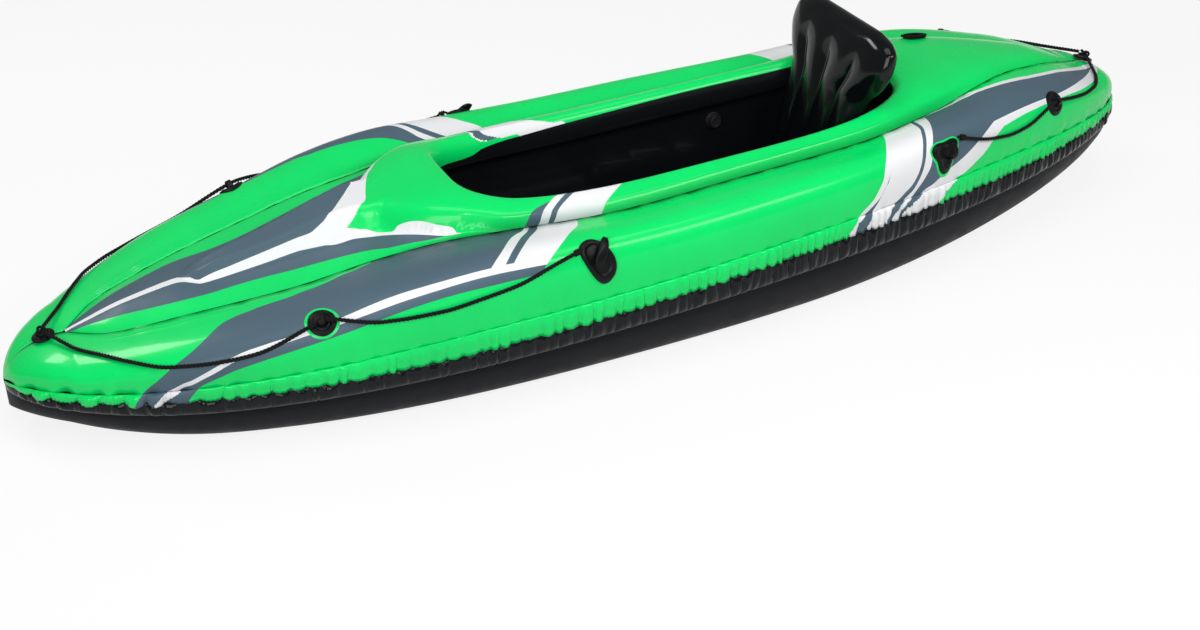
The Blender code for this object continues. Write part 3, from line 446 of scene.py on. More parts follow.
def printedSheet(outline, holes, gridPoints, layers, step):
    # triangles of a flat sheet that keep the edges of every printed layer; each triangle's ink
    vertices, edges = [], []
    for loop in [outline] + holes + [layer[1] for layer in layers]:
        dense = denseLoop([tuple(p) for p in loop], step)
        start = len(vertices)
        vertices += dense
        edges += [(start + k, start + (k + 1) % len(dense)) for k in range(len(dense))]
    tree = kdtree.KDTree(len(vertices))
    for k, p in enumerate(vertices):
        tree.insert((p[0], p[1], 0), k)
    tree.balance()
    gridPoints = gridPoints[inside(gridPoints, outline)]
    for p in gridPoints:
        if tree.find((p[0], p[1], 0))[2] > sheetSettings["clearShare"] * step:
            vertices.append(p)
    flat, faces = delaunay_2d_cdt([Vector((p[0], p[1])) for p in vertices], edges, [], 0,
                                  sheetSettings["sameWithin"])[0:3:2]
    flat = np.array([(p.x, p.y) for p in flat])
    faces = np.array([f for f in faces if len(f) == 3])
    middle = flat[faces].mean(axis=1)
    keep = inside(middle, outline)
    for hole in holes:
        keep &= ~inside(middle, hole)
    faces = faces[keep]
    used = np.unique(faces)
    renumber = np.zeros(len(flat), int)
    renumber[used] = np.arange(len(used))
    return flat[used], renumber[faces], inkAt(middle[keep], layers)


# print on the side chambers, as lines of (x, degrees round the tube)
sidePrint = {
    "degreeWidth": 0.0033,
    "starboardLowered": ((-1.36, 30), (-0.82, 30), (-0.74, 14), (-0.66, 0), (0.345, 0), (0.376, 7), (0.40, 12),
                         (0.436, 18), (0.49, 23), (0.566, 27), (0.70, 29), (0.80, 31), (1.36, 31)),
    "foreGrey": [[(1.150, 95), (1.141, 90), (1.114, 78.6), (1.065, 52.3), (1.027, 38.1), (0.972, 18.6), (0.937, 10.8),
                  (0.877, 6.3), (0.788, 3.8), (0.697, 1.5), (0.632, 0.4)],
                 [(0.60, -3), (0.566, -3), (0.49, -3), (0.436, -3), (0.40, -3), (0.376, -3), (0.345, -3), (0.305, -3)],
                 [(0.308, 0.3), (0.355, 7.9), (0.403, 27.6), (0.437, 42.1)],
                 [(0.422, 49.1), (0.337, 50.5), (0.321, 50.9)],
                 [(0.338, 57.7), (0.437, 57.8), (0.540, 56.0), (0.672, 57.8), (0.834, 62.8), (0.943, 70.1),
                  (0.997, 78.6), (1.025, 84.1), (1.062, 95)]],
    "foreWhite": [[(1.125, 95), (1.108, 90), (1.040, 75.7), (0.955, 54.8), (0.896, 49.0), (0.826, 46.3),
                   (0.742, 42.8), (0.655, 40.1), (0.545, 40.6), (0.437, 42.1)],
                  [(0.422, 49.1), (0.507, 48.0), (0.612, 48.2), (0.720, 49.3), (0.830, 51.6), (0.943, 59.5),
                   (0.996, 71.1), (1.036, 80.0), (1.085, 90), (1.10, 95)]],
    "midWhite": [[(0.305, -3), (0.308, 0.3), (0.355, 7.9), (0.403, 27.6), (0.437, 42.1)],
                 [(0.422, 49.1), (0.337, 50.5), (0.321, 50.9)],
                 [(0.295, 40.1), (0.267, 28.5), (0.237, 15.5), (0.205, 5.3), (0.190, -3)]],
    "midGrey": [[(0.290, -3), (0.298, 0.3), (0.336, 9.8), (0.376, 27.0), (0.406, 42.1)],
                [(0.388, 42.4), (0.359, 28.2), (0.319, 11.2), (0.280, 0.5), (0.270, -3)]],
    "aftWhite": [[(-0.570, -3), (-0.561, 1.8), (-0.535, 17.5), (-0.516, 33.7), (-0.501, 50.4), (-0.493, 62.4),
                  (-0.478, 71.5), (-0.463, 77.8), (-0.426, 85.2), (-0.402, 90), (-0.385, 95)],
                 [(-0.662, 95), (-0.658, 90), (-0.690, 86.1), (-0.738, 82.1), (-0.786, 75.0), (-0.820, 65.4),
                  (-0.851, 57.0)],
                 [(-0.920, 53.0), (-1.018, 48.6), (-1.077, 46.5), (-1.140, 44.6), (-1.195, 38.8), (-1.258, 29.5),
                  (-1.297, 15.0), (-1.308, 5.2)],
                 [(-1.153, 8.4), (-1.040, 8.2), (-0.974, 6.2), (-0.914, 3.8), (-0.836, 0.8), (-0.79, -3)]],
    "aftGrey": [[(-0.684, 0.2), (-0.657, 22.9), (-0.636, 47.3), (-0.630, 62.7), (-0.623, 70.1), (-0.604, 77.9),
                 (-0.580, 83.4), (-0.558, 86.8), (-0.535, 90), (-0.515, 95)],
                [(-0.535, 95), (-0.549, 90), (-0.594, 85.6), (-0.653, 80.1), (-0.685, 75.6), (-0.722, 71.3),
                 (-0.767, 62.5), (-0.791, 56.2), (-0.823, 47.4)],
                [(-0.869, 46.2), (-0.926, 44.8), (-1.032, 41.7), (-1.078, 39.6), (-1.133, 34.8), (-1.221, 22.7),
                 (-1.285, 12.0)],
                [(-1.137, 12.3), (-1.027, 11.6), (-0.963, 9.5), (-0.904, 6.3), (-0.826, 2.6), (-0.745, 0.8)]],
    "aftLine": [[(-0.645, -3), (-0.640, 10), (-0.625, 24.9), (-0.610, 44.4), (-0.602, 58.7), (-0.591, 69.3),
                 (-0.572, 77.2), (-0.542, 82.5), (-0.514, 86.9), (-0.490, 95)],
                [(-0.506, 95), (-0.527, 88.2), (-0.552, 85.0), (-0.581, 79.6), (-0.600, 71.2), (-0.610, 61.0),
                 (-0.619, 45.9), (-0.633, 26.9), (-0.649, 10), (-0.655, -3)]],
    "aftCrescent": [[(-0.513, 58.5), (-0.503, 68.0), (-0.491, 74.3), (-0.474, 79.5), (-0.450, 84.0), (-0.427, 87.4),
                     (-0.405, 95)],
                    [(-0.440, 95), (-0.456, 88.5), (-0.466, 84.6), (-0.480, 79.4), (-0.493, 73.1), (-0.507, 66.8)]],
}
sidePrintOrder = (("foreGrey", grey), ("foreWhite", white), ("midWhite", white), ("midGrey", grey),
                  ("aftWhite", white), ("aftGrey", grey), ("aftLine", grey), ("aftCrescent", grey))
fittings = {
    "foreEyelet": (0.780, 42.0), "aftEyelet": (-1.031, 50.7), "eyeletRadius": 0.0285,
    "handle": (0.209, 55.2), "tiePatch": (-0.668, 60.0), "printRing": 0.0060, "tieRadius": 0.034, "tieCorners": 0.20,
    "tiePrintRing": 0.0055,
}


def tubeSpeeds(x, angle, side, small=0.002):
    # how fast the skin runs along the boat and round the tube
    ahead = (tubePlace(x + small, angle, side) - tubePlace(x - small, angle, side)) / (2 * small)
    roundIt = (tubePlace(x, angle + small, side) - tubePlace(x, angle - small, side)) / (2 * small)
    return ahead, roundIt


def aroundFitting(centre, reach, count=40):
    # a closed line on the tube round a fitting; reach gives its radius by direction
    x, angle = centre[0], radians(centre[1])
    ahead, down = (np.linalg.norm(speed) for speed in tubeSpeeds(x, angle, 1))
    turns = [2 * pi * i / count for i in range(count)]
    return [(x + reach(turn) * cos(turn) / ahead, np.degrees(angle - reach(turn) * sin(turn) / down))
            for turn in turns]


def triangleReach(turn, grow=0.0):
    return fittings["tieRadius"] * (1 + fittings["tieCorners"] * cos(3 * (turn + pi / 2))) + grow


def sideLayers(side):
    # every printed layer in sheet metres, from the lowest to the topmost
    layers = []
    lowered = smoothCurve(sidePrint["starboardLowered"])
    for name, ink in sidePrintOrder:
        loop = [point for line in sidePrint[name] for point in curved(line)]
        if side < 0:
            loop = [(x, degrees + lowered(x) * (1 - degrees / 90)) for x, degrees in loop]
        layers.append((ink, [sideSheet(*point) for point in loop]))
    # a green ring is left bare round two of the fittings
    f = fittings
    for centre, reach in ((f["foreEyelet"], lambda turn: f["eyeletRadius"] + f["printRing"]),
                          (f["tiePatch"], lambda turn: triangleReach(turn, f["tiePrintRing"]))):
        layers.append((green, [sideSheet(*point) for point in aroundFitting(centre, reach)]))
    return layers


def sideSheet(x, degrees):
    reach = hull["halfLength"]
    return reach * asin(max(-1.0, min(1.0, x / reach))), degrees * sidePrint["degreeWidth"]


def sideUnsheet(flat):
    reach = hull["halfLength"]
    return reach * np.sin(flat[:, 0] / reach), np.radians(flat[:, 1] / sidePrint["degreeWidth"])


sideSkin = {
    "endX": 1.3594, "lowerDegrees": 86.0, "step": 0.0095,
    "weldRows": (0.0006, 0.0028, 0.0040, 0.0052, 0.0085, 0.0100, 0.0112, 0.0124, 0.0150, 0.0200),
    "weldGrooves": (0.0040, 0.0112), "grooveDepth": 0.0005, "grooveWidth": 0.0016, "paintedCreaseShade": 0.7, "shadeReach": 0.008,
    "weldPucker": 0.0011, "weldPuckerReach": 0.022, "weldPuckerPitch": 0.075,
    "hemPucker": 0.0022, "hemPuckerReach": 0.020, "hemPuckerPitch": 0.052, "hemDegrees": 1.6,
    "hemBias": 0.6, "bowFullness": (1.2, 0.95, 0.25), "reliefEnd": (1.2, 0.1), "topEdge": 0.0003, "firstRow": 0.028,
    "hemRow": 0.004,
}


def sideRelief(x, angle, side):
    # height of the welds' grooves, and of the puckers that fade away from the welds
    s = sideSkin
    down = np.degrees(angle) * sidePrint["degreeWidth"]
    end, fade = s["reliefEnd"]
    girth = np.clip((end - np.abs(x)) / fade, 0, 1)
    relief = s["weldPucker"] * waves(x, s["weldPuckerPitch"], 1.0 + side) * np.exp(-down / s["weldPuckerReach"])
    for groove in s["weldGrooves"]:
        relief -= s["grooveDepth"] * np.exp(-((down - groove) / s["grooveWidth"]) ** 2)
    up = (s["lowerDegrees"] - s["hemDegrees"]) * sidePrint["degreeWidth"] - down
    more, start, reach = s["bowFullness"]
    fullness = 1.0 + more * np.clip((x - start) / reach, 0, 1)
    hem = s["hemPucker"] * (waves(x, s["hemPuckerPitch"], 2.0 + side) - s["hemBias"]) * fullness
    return relief * girth + hem * np.exp(-np.clip(up, 0, None) / (s["hemPuckerReach"] * fullness))


def sidePlace(x, angle, side):
    place = tubePlace(x, angle, side)
    return place + skinNormals(tubePlace, x, angle, side) * sideRelief(x, angle, side)[..., None]


def makeSideSkins():
    s = sideSkin
    endX = sideSheet(s["endX"], 0)[0]
    low = s["lowerDegrees"] * sidePrint["degreeWidth"]
    top, last = s["topEdge"], low - s["hemRow"]
    outline = [(-endX, top), (endX, top), (endX, low), (-endX, low)]
    rows = list(s["weldRows"]) + list(np.arange(s["firstRow"], last, s["step"])) + [last]
    columns = np.arange(-endX + 0.5 * s["step"], endX, s["step"])
    points = np.array([(x, v) for v in rows for x in columns])
    for name, side in sides:
        flat, faces, inks = printedSheet(outline, [], points, sideLayers(side), s["step"])
        x, angle = sideUnsheet(flat)
        turned = faces if side > 0 else faces[:, ::-1]
        item = addPiece(name + "SideSkin", sidePlace(x, angle, side), turned, printInks, "hull", "green_vinyl",
                        [name + "_side_chamber"], inks)
        down = np.degrees(angle) * sidePrint["degreeWidth"]
        # painted shade: the skin's colour is darkened in the crease just under the deck weld
        paintCreaseShade(item, s["paintedCreaseShade"] * creaseShadeFade(x) * np.exp(-(down / s["shadeReach"]) ** 1.5))
        thicken(item)
        print(name, "side skin:", len(faces), "triangles")


# deck, bow deck and coaming

deckPrint = {
    "grey": [[(1.224, 0.0), (1.217, 0.0105), (1.10, 0.052), (0.978, 0.084), (0.886, 0.0896), (0.823, 0.0986),
              (0.770, 0.111), (0.717, 0.123), (0.654, 0.1385), (0.616, 0.1486), (0.579, 0.163), (0.540, 0.1704),
              (0.502, 0.181), (0.470, 0.1864)],
             [(0.4685, 0.1825), (0.511, 0.1493), (0.562, 0.1161), (0.621, 0.0921), (0.6645, 0.0834), (0.690, 0.0719)],
             [(0.7103, 0.0526), (0.692, 0.0515), (0.6757, 0.049), (0.6564, 0.0366), (0.6363, 0.015), (0.6158, -0.0089),
              (0.5995, -0.0314), (0.5835, -0.0535)],
             [(0.572, -0.080), (0.555, -0.108), (0.511, -0.1493), (0.4685, -0.1825)],
             [(0.470, -0.1864), (0.540, -0.1704), (0.579, -0.163), (0.616, -0.1486), (0.654, -0.1385),
              (0.717, -0.123), (0.770, -0.111), (0.823, -0.0986), (0.886, -0.0896), (0.978, -0.084), (1.10, -0.052),
              (1.217, -0.0105)]],
    "stem": [[(1.226, -0.001), (1.10, -0.002), (1.02, -0.005), (0.985, -0.004)],
             [(0.963, 0.0149), (0.954, 0.0267), (0.946, 0.0312)],
             [(0.908, 0.0337), (0.8686, 0.0365), (0.8036, 0.0416), (0.7463, 0.0471), (0.7142, 0.0518), (0.700, 0.0525)],
             [(0.682, 0.0745), (0.7212, 0.0637), (0.752, 0.0571), (0.8087, 0.0513), (0.8732, 0.0459),
              (0.9103, 0.0448), (0.945, 0.0445), (0.956, 0.0395), (0.968, 0.029), (0.985, 0.018), (1.02, 0.0140),
              (1.15, 0.0115), (1.224, 0.004)]],
    "farStem": [[(0.942, -0.036), (0.908, -0.0337), (0.8686, -0.0365), (0.8036, -0.0416), (0.7463, -0.0471),
                 (0.7142, -0.0518), (0.650, -0.062), (0.575, -0.050)],
                [(0.558, -0.084), (0.621, -0.0921), (0.6645, -0.0834), (0.690, -0.0719), (0.7212, -0.0637),
                 (0.752, -0.0571), (0.8087, -0.0513), (0.8732, -0.0459), (0.9103, -0.0448), (0.942, -0.038)]],
    "yoke": [[(0.7103, 0.0526), (0.692, 0.0515), (0.6757, 0.049), (0.6564, 0.0366), (0.6363, 0.015),
              (0.6158, -0.0089), (0.5995, -0.0314), (0.5835, -0.0535)],
             [(0.572, -0.080), (0.555, -0.108), (0.511, -0.1493), (0.460, -0.190)],
             [(0.440, -0.187), (0.490, -0.140), (0.5246, -0.0933), (0.540, -0.0751), (0.559, -0.0316),
              (0.572, 0.0039), (0.587, 0.0428), (0.617, 0.0666), (0.640, 0.0731)],
             [(0.618, 0.0808), (0.5935, 0.0871), (0.558, 0.1047)],
             [(0.5434, 0.1138), (0.526, 0.127), (0.506, 0.1424), (0.474, 0.167), (0.440, 0.186), (0.430, 0.1925)],
             [(0.440, 0.1915), (0.4685, 0.1825), (0.511, 0.1493), (0.562, 0.1161), (0.621, 0.0921),
              (0.6645, 0.0834), (0.690, 0.0719)]],
    "bandGrey": [[(0.3410, 0.250), (0.3187, 0.2325), (0.2953, 0.2211), (0.2718, 0.2102), (0.2448, 0.202),
                  (0.2038, 0.194)],
                 [(0.2014, 0.1755), (0.2401, 0.2046), (0.2711, 0.2276), (0.2883, 0.2366), (0.3110, 0.250)]],
    "bandWhite": [[(0.3110, 0.250), (0.2883, 0.2366), (0.2711, 0.2276), (0.2401, 0.2046), (0.1870, 0.165),
                   (0.1500, 0.135)],
                  [(-0.0150, 0.135), (0.0316, 0.170), (0.0613, 0.1907), (0.1000, 0.2188), (0.1328, 0.2408),
                   (0.1510, 0.260)]],
    "bandLine": [[(0.2910, 0.260), (0.2711, 0.2433), (0.2492, 0.2287), (0.2116, 0.2008), (0.1630, 0.165),
                  (0.1260, 0.135)],
                 [(0.1000, 0.135), (0.1400, 0.165), (0.1981, 0.2042), (0.2376, 0.2311), (0.2595, 0.2463),
                  (0.2730, 0.260)]],
    "farBandWhite": [[(0.330, -0.260), (0.300, -0.230), (0.2696, -0.1968), (0.2640, -0.1680)],
                     [(0.2451, -0.1630), (0.2219, -0.1659), (0.2047, -0.1684), (0.1769, -0.1700), (0.146, -0.1712),
                      (0.130, -0.150)],
                     [(0.005, -0.150), (0.0313, -0.1769), (0.056, -0.1789), (0.0814, -0.1834), (0.1057, -0.1897),
                      (0.1324, -0.2045), (0.160, -0.235), (0.175, -0.260)]],
    "farBandLine": [[(0.318, -0.255), (0.290, -0.222), (0.2626, -0.1926), (0.2560, -0.1670)],
                    [(0.2385, -0.1650), (0.2264, -0.1656), (0.2150, -0.1668)],
                    [(0.2012, -0.1689), (0.2094, -0.1697), (0.2199, -0.1702), (0.2351, -0.1740)],
                    [(0.2440, -0.1960), (0.268, -0.222), (0.296, -0.255)]],
}
deckPrintOrder = (("grey", grey, False), ("stem", white, False), ("farStem", white, False), ("yoke", white, False),
                  ("bandGrey", grey, True), ("bandWhite", white, False), ("bandLine", grey, False),
                  ("farBandWhite", white, False), ("farBandLine", grey, False))
cockpit = {
    "centre": -0.147, "halfLength": 0.534, "halfWidth": 0.173, "squareness": 4.0, "points": 900,
    "rollWidth": 0.024, "rollDrop": 0.042, "rollTurn": radians(128), "greenSteps": 14, "blackSteps": 6,
    "greenDrop": ((-0.7, 0.018), (-0.5, 0.016), (-0.3, 0.0135), (-0.1, 0.016), (0.05, 0.019), (0.15, 0.024),
                  (0.20, 0.0265), (0.265, 0.034), (0.30, 0.046), (0.40, 0.055)),
    "wellCentre": -0.145, "wellHalfLength": 0.556, "wellHalfWidth": 0.2185, "wellSquareness": 5.0,
    "wellTop": 0.2915, "wellFloor": 0.066,
}
deckSkin = {"sternX": -1.2605, "bowX": 1.2255, "step": 0.0085, "shadeReach": 0.010, "tipX": 1.1, "tipSteps": 40,
            "midSteps": 260, "weldGap": 0.0001}


def oval(centre, halfLength, halfWidth, squareness, grow=0.0, count=240):
    turn = np.arange(count) * 2 * pi / count
    c, s = np.cos(turn), np.sin(turn)
    power = 2 / squareness
    x = centre + (halfLength + grow) * signedPower(c, power)
    return np.stack([x, (halfWidth + grow) * signedPower(s, power)], -1)


def opening(grow):
    # evenly spaced points round the cockpit's opening
    c = cockpit
    fine = oval(c["centre"], c["halfLength"], c["halfWidth"], c["squareness"], grow, 4000)
    return evenly(fine, c["points"])


def evenly(loop, count):
    closed = np.concatenate([loop, loop[:1]])
    run = np.concatenate([[0], np.cumsum(np.linalg.norm(np.diff(closed, axis=0), axis=1))])
    at = np.linspace(0, run[-1], count, endpoint=False)
    return np.stack([np.interp(at, run, closed[:, k]) for k in range(closed.shape[1])], -1)


def easeStep(t):
    t = np.clip(t, 0, 1)
    return t * t * (3 - 2 * t)


foreDeck = {
    "arch": ((-1.3, 0.004), (0.30, 0.004), (0.75, 0.005), (0.875, 0.006), (0.93, 0.009), (0.975, 0.0145), (1.0, 0.0165),
             (1.1, 0.0175), (1.227, 0.003)),
    "spineTop": ((0.0, 0.0), (0.30, 0.340), (0.50, 0.350), (0.56, 0.3535), (0.60, 0.3535), (0.655, 0.345),
                 (0.72, 0.327), (0.81, 0.302), (0.885, 0.285), (0.945, 0.265), (0.965, 0.254),
                 (0.985, 0.238), (1.0, 0.21), (1.3, 0.0)),
    "spineFlat": ((0.30, 0.055), (0.60, 0.053), (0.655, 0.045), (0.72, 0.038), (0.81, 0.030), (0.885, 0.023),
                  (0.94, 0.018), (0.958, 0.011), (0.975, 0.004), (1.3, 0.002)),
    "spineFoot": ((0.30, 0.105), (0.62, 0.100), (0.69, 0.080), (0.75, 0.066), (0.81, 0.058), (0.875, 0.050),
                  (0.94, 0.042), (0.958, 0.030), (0.975, 0.012), (1.3, 0.006)),
    "humpFront": ((0.0, 0.602), (0.04, 0.596), (0.07, 0.582), (0.115, 0.545), (0.15, 0.505), (0.18, 0.455),
                  (0.20, 0.40), (0.25, 0.30)),
    "humpNose": 0.055, "noseRoundness": 2.3, "meet": 0.0028, "bead": 0.0013, "beadWidth": 0.003, "beadEnd": 0.97,
    "beadFade": 0.03, "sink": 0.004, "crownPower": (2.4, 0.6, -0.95, 0.3), "meetEnd": (1.1, 0.15), "edgeShare": 0.05,
}
archRise, spineTop, spineFlat, spineFoot, humpFront = (
    smoothCurve(foreDeck[law]) for law in ("arch", "spineTop", "spineFlat", "spineFoot", "humpFront"))


def deckTop(x, y):
    # a low arch, a flat-topped spine with steep sides on the fore deck, and the full body round the cockpit
    d, sink, nosePower = foreDeck, foreDeck["sink"], foreDeck["noseRoundness"]
    x, y = np.broadcast_arrays(np.asarray(x, float), np.asarray(y, float))
    away = np.abs(y)
    width, height = seamAt(x)
    t = np.clip(away / np.maximum(width, 0.001), 0, 1)
    base = height + archRise(x) * (1 - t * t)
    flat, foot = spineFlat(x), spineFoot(x)
    side = 1 - easeStep((away - flat) / np.maximum(foot - flat, 0.002))
    bead = d["bead"] * np.exp(-((away - flat) / d["beadWidth"]) ** 2) * easeStep((d["beadEnd"] - x) / d["beadFade"])
    spine = base - sink + (spineTop(x) - base + sink) * side + bead
    least, more, start, reach = d["crownPower"]
    power = least + more * easeStep((x - start) / reach)
    inward = np.clip((humpFront(away) - x) / d["humpNose"], 0, 1)
    nose = (1 - (1 - inward) ** nosePower) ** (1 / nosePower)
    body = height - sink + (crestHeight(x) - height + sink) * (1 - t ** power) ** (1 / power) * nose
    # bodies melt into each other over a few millimetres
    end, fade = d["meetEnd"]
    meet = d["meet"] * easeStep((end - np.abs(x)) / fade) + 1e-5
    top = np.maximum(np.maximum(base, spine), body)
    melted = top + meet * np.log(sum(np.exp((part - top) / meet) for part in (base, spine, body)))
    return height + (melted - height) * np.clip((1 - t) / d["edgeShare"], 0, 1) ** 0.5


def deckSheet(x, y):
    width = max(float(seamAt(x)[0]), 0.0005)
    return x, width * asin(max(-1.0, min(1.0, y / width)))


def deckUnsheet(flat):
    width = np.maximum(seamAt(flat[:, 0])[0], 0.0005)
    return flat[:, 0], width * np.sin(np.clip(flat[:, 1] / width, -pi / 2, pi / 2))


def deckLayers():
    # each layer, and its mirror image where the print has one
    layers = []
    for name, ink, mirrored in deckPrintOrder:
        loop = [point for line in deckPrint[name] for point in curved(line)]
        for side in (1, -1) if mirrored else (1,):
            layers.append((ink, [deckSheet(x, side * y) for x, y in loop]))
    return layers


def makeDeckSkin():
    s, c = deckSkin, cockpit
    tip = s["tipX"]
    stations = np.concatenate([np.linspace(s["sternX"], -tip, s["tipSteps"]),
                               np.linspace(-tip, tip, s["midSteps"])[1:],
                               np.linspace(tip, s["bowX"], s["tipSteps"])[1:]])
    edge = [deckSheet(x, 1.0) for x in stations]
    outline = edge + [(x, -q) for x, q in reversed(edge)]
    rim = opening(c["rollWidth"])
    hole = [deckSheet(x, y) for x, y in rim]
    xs = np.arange(s["sternX"] + 0.004, s["bowX"], s["step"])
    points = []
    for x in xs:
        width = seamAt(x)[0] * pi / 2
        count = max(int(2 * width / s["step"]), 2)
        points += [(x, -width + 2 * width * (k + 0.5) / count) for k in range(count)]
    points = np.array(points)
    points = points[~inside(points, hole)]
    layers = deckLayers()
    flat, faces, inks = printedSheet(outline, [hole], points, layers, s["step"])
    x, y = deckUnsheet(flat)
    vertices = [list(v) for v in np.stack([x, y, deckTop(x, y)], -1)]
    faces, inks = [list(f) for f in faces], list(inks)
    # the coaming's roll: the green skin over its top, then the black lining's edge, down into the cockpit
    start = len(vertices)
    count, greenSteps = len(rim), c["greenSteps"]
    edgeTop = deckTop(rim[:, 0], rim[:, 1])
    weldTurn = np.arccos(1 - smoothCurve(c["greenDrop"])(rim[:, 0]) / c["rollDrop"])
    inner = opening(0.0)
    turns = [weldTurn * k / greenSteps for k in range(greenSteps + 1)]
    turns += [weldTurn + (c["rollTurn"] - weldTurn) * k / c["blackSteps"] for k in range(1, c["blackSteps"] + 1)]
    for turn in turns:
        ring = inner + (rim - inner) * (1 - np.sin(turn))[:, None]
        vertices += np.column_stack([ring, edgeTop - c["rollDrop"] * (1 - np.cos(turn))]).tolist()
    rollFaces = gridFaces(len(turns), count, True)
    places = np.array(vertices[start:])
    middles = np.array([deckSheet(*places[list(face), :2].mean(axis=0)) for face in rollFaces])
    rollInks = inkAt(middles, layers)
    rollInks[greenSteps * count:] = len(printInks)
    faces += [[start + k for k in face] for face in rollFaces]
    inks += list(rollInks)
    mesh = plainMesh("deckSkin", vertices, faces)
    mesh.polygons.foreach_set("material_index", np.asarray(inks, np.int32))
    shape = bmesh.new()
    shape.from_mesh(mesh)
    bmesh.ops.remove_doubles(shape, verts=shape.verts, dist=s["weldGap"])
    bmesh.ops.recalc_face_normals(shape, faces=shape.faces)
    if sum(f.normal.z for f in shape.faces) < 0:
        bmesh.ops.reverse_faces(shape, faces=shape.faces)
    shape.to_mesh(mesh)
    shape.free()
    item = addMesh("deckSkin", mesh, printInks + [blackVinyl], "hull",
                   ["deck_chamber", "bow_deck_chamber"])
    # painted shade: the deck's colour is darkened towards its welded edges, in the valley beside the side chambers
    places = np.array([v.co for v in mesh.vertices])
    away = seamAt(places[:, 0])[0] - np.abs(places[:, 1])
    paintCreaseShade(item, creaseShadeFade(places[:, 0]) * np.exp(-(np.clip(away, 0, None) / s["shadeReach"]) ** 1.5))
    thicken(item)
    print("deck skin:", len(mesh.polygons), "faces")


liner = {"wallBulge": 0.006, "wallRipple": 0.12, "rows": 12, "tuckTurn": radians(4), "lipGap": 0.0010,
         "lipLift": 0.0006, "shelfShares": (0.25, 0.5, 0.75, 0.94), "shelfFall": 1.2, "wallDrop": 0.004}


def makeLiner():
    # black lining: from under the coaming out to the well's wall and down to the floor
    c, s = cockpit, liner
    rim = opening(c["rollWidth"])
    edgeTop = deckTop(rim[:, 0], rim[:, 1])
    turn = c["rollTurn"] - s["tuckTurn"]
    lip = opening(c["rollWidth"] * (1 - sin(turn)) + s["lipGap"])
    lipZ = edgeTop - c["rollDrop"] * (1 - cos(turn)) + s["lipLift"]
    well = evenly(oval(c["wellCentre"], c["wellHalfLength"], c["wellHalfWidth"], c["wellSquareness"], 0.0, 4000),
                  c["points"])
    away = well - np.array((c["wellCentre"], 0.0))
    away /= np.linalg.norm(away, axis=1, keepdims=True)
    rings = [np.column_stack([lip, lipZ])]
    for t in s["shelfShares"]:
        ring = lip + (well - lip) * t
        rings.append(np.column_stack([ring, lipZ + (c["wellTop"] - lipZ) * min(1.0, s["shelfFall"] * t)]))
    for t in (k / s["rows"] for k in range(s["rows"] + 1)):
        bulge = s["wallBulge"] * (sin(pi * t) + s["wallRipple"] * sin(3 * pi * t))
        z = c["wellTop"] - s["wallDrop"] + (c["wellFloor"] - c["wellTop"]) * t
        rings.append(np.column_stack([well - away * bulge, np.full(len(well), z)]))
    thicken(addPiece("cockpitLining", np.concatenate(rings), gridFaces(len(rings), len(well), True), [blackVinyl],
                     "hull", "black_vinyl", ["cockpit_liner"]))
    print("lining:", len(rings) * len(well), "points")


bottom = {"endX": 1.3594, "stations": 260, "bilge": (2, 60, 22), "turn": (64, 90, 9), "flatSteps": 14,
          "creaseShadeBelow": 2.0, "creaseShadeWidth": 6.0}


def makeBottom():
    # one shell from chine to chine
    b, reach = bottom, hull["halfLength"]
    limit = asin(b["endX"] / reach)
    angles = np.radians(np.concatenate([np.linspace(*b["bilge"]), np.linspace(*b["turn"])]))
    flatShares = np.linspace(0, 1, b["flatSteps"])[1:-1]
    rows = []
    for x in reach * np.sin(np.linspace(-limit, limit, b["stations"])):
        port = bilgePlace(np.full(len(angles), x), angles, 1)
        keel = port[-1]
        flat = [np.array((x, keel[1] * (1 - 2 * t), keel[2])) for t in flatShares]
        rows.append(np.concatenate([port, flat, bilgePlace(np.full(len(angles), x), angles[::-1], -1)]))
    columns = len(rows[0])
    item = addPiece("bottomSkin", np.concatenate(rows), gridFaces(len(rows), columns, False, True), [bottomVinyl],
                    "hull", "bottom_vinyl", ["bottom_chamber"])
    # painted shade: a band of the bottom just under the gathered black band is darkened, for the shade in the crease
    # there
    bandShade = np.exp(-((np.degrees(angles) - gather["blackLow"] - b["creaseShadeBelow"]) / b["creaseShadeWidth"]) ** 2)
    paintCreaseShade(item, np.tile(np.concatenate([bandShade, np.zeros(len(flatShares)), bandShade[::-1]]), len(rows)))
    thicken(item)
    print("bottom:", len(rows) * columns, "points")


# gathered bands along the chine
gather = {
    "greenTop": 84.4, "blackLow": 14.5, "greenRows": 12, "blackRows": 16, "alongStep": 0.0019, "seed": 11,
    "greenPitch": ((-1.36, 0.019), (-0.6, 0.021), (0.4, 0.026), (0.9, 0.034), (1.1, 0.052), (1.36, 0.050)),
    "blackPitch": ((-1.36, 0.020), (-0.4, 0.022), (0.6, 0.027), (1.36, 0.036)),
    "greenPuff": 0.0072, "blackPuff": 0.0088, "standOff": 0.0022, "edgeWave": 0.0052,
    "crinkle": 0.0007, "crinklePitch": 0.0105, "endX": 1.3590, "chineDegrees": 88, "thickness": 0.0007,
    "greenLift": 0.0009, "greenSlant": 0.05, "greenFullness": 1.35, "hemDrop": 0.003,
    "blackLift": 0.0010, "blackSlant": 0.06, "blackStandOff": 1.6, "tuck": 0.0012,
    "margins": (-0.03, 0.06), "pitchRange": (0.62, 1.42), "depthRange": (0.45, 1.15), "slantRange": (-0.16, 0.16),
    "roundness": 0.62, "fineSteps": 6000, "taper": (0.0005, 0.05, 0.15), "bowFullness": (0.7, 0.95, 0.2),
    "hemMiddle": 0.55, "blackSeed": 7, "blackShift": 0.004, "blackStart": 0.18,
}


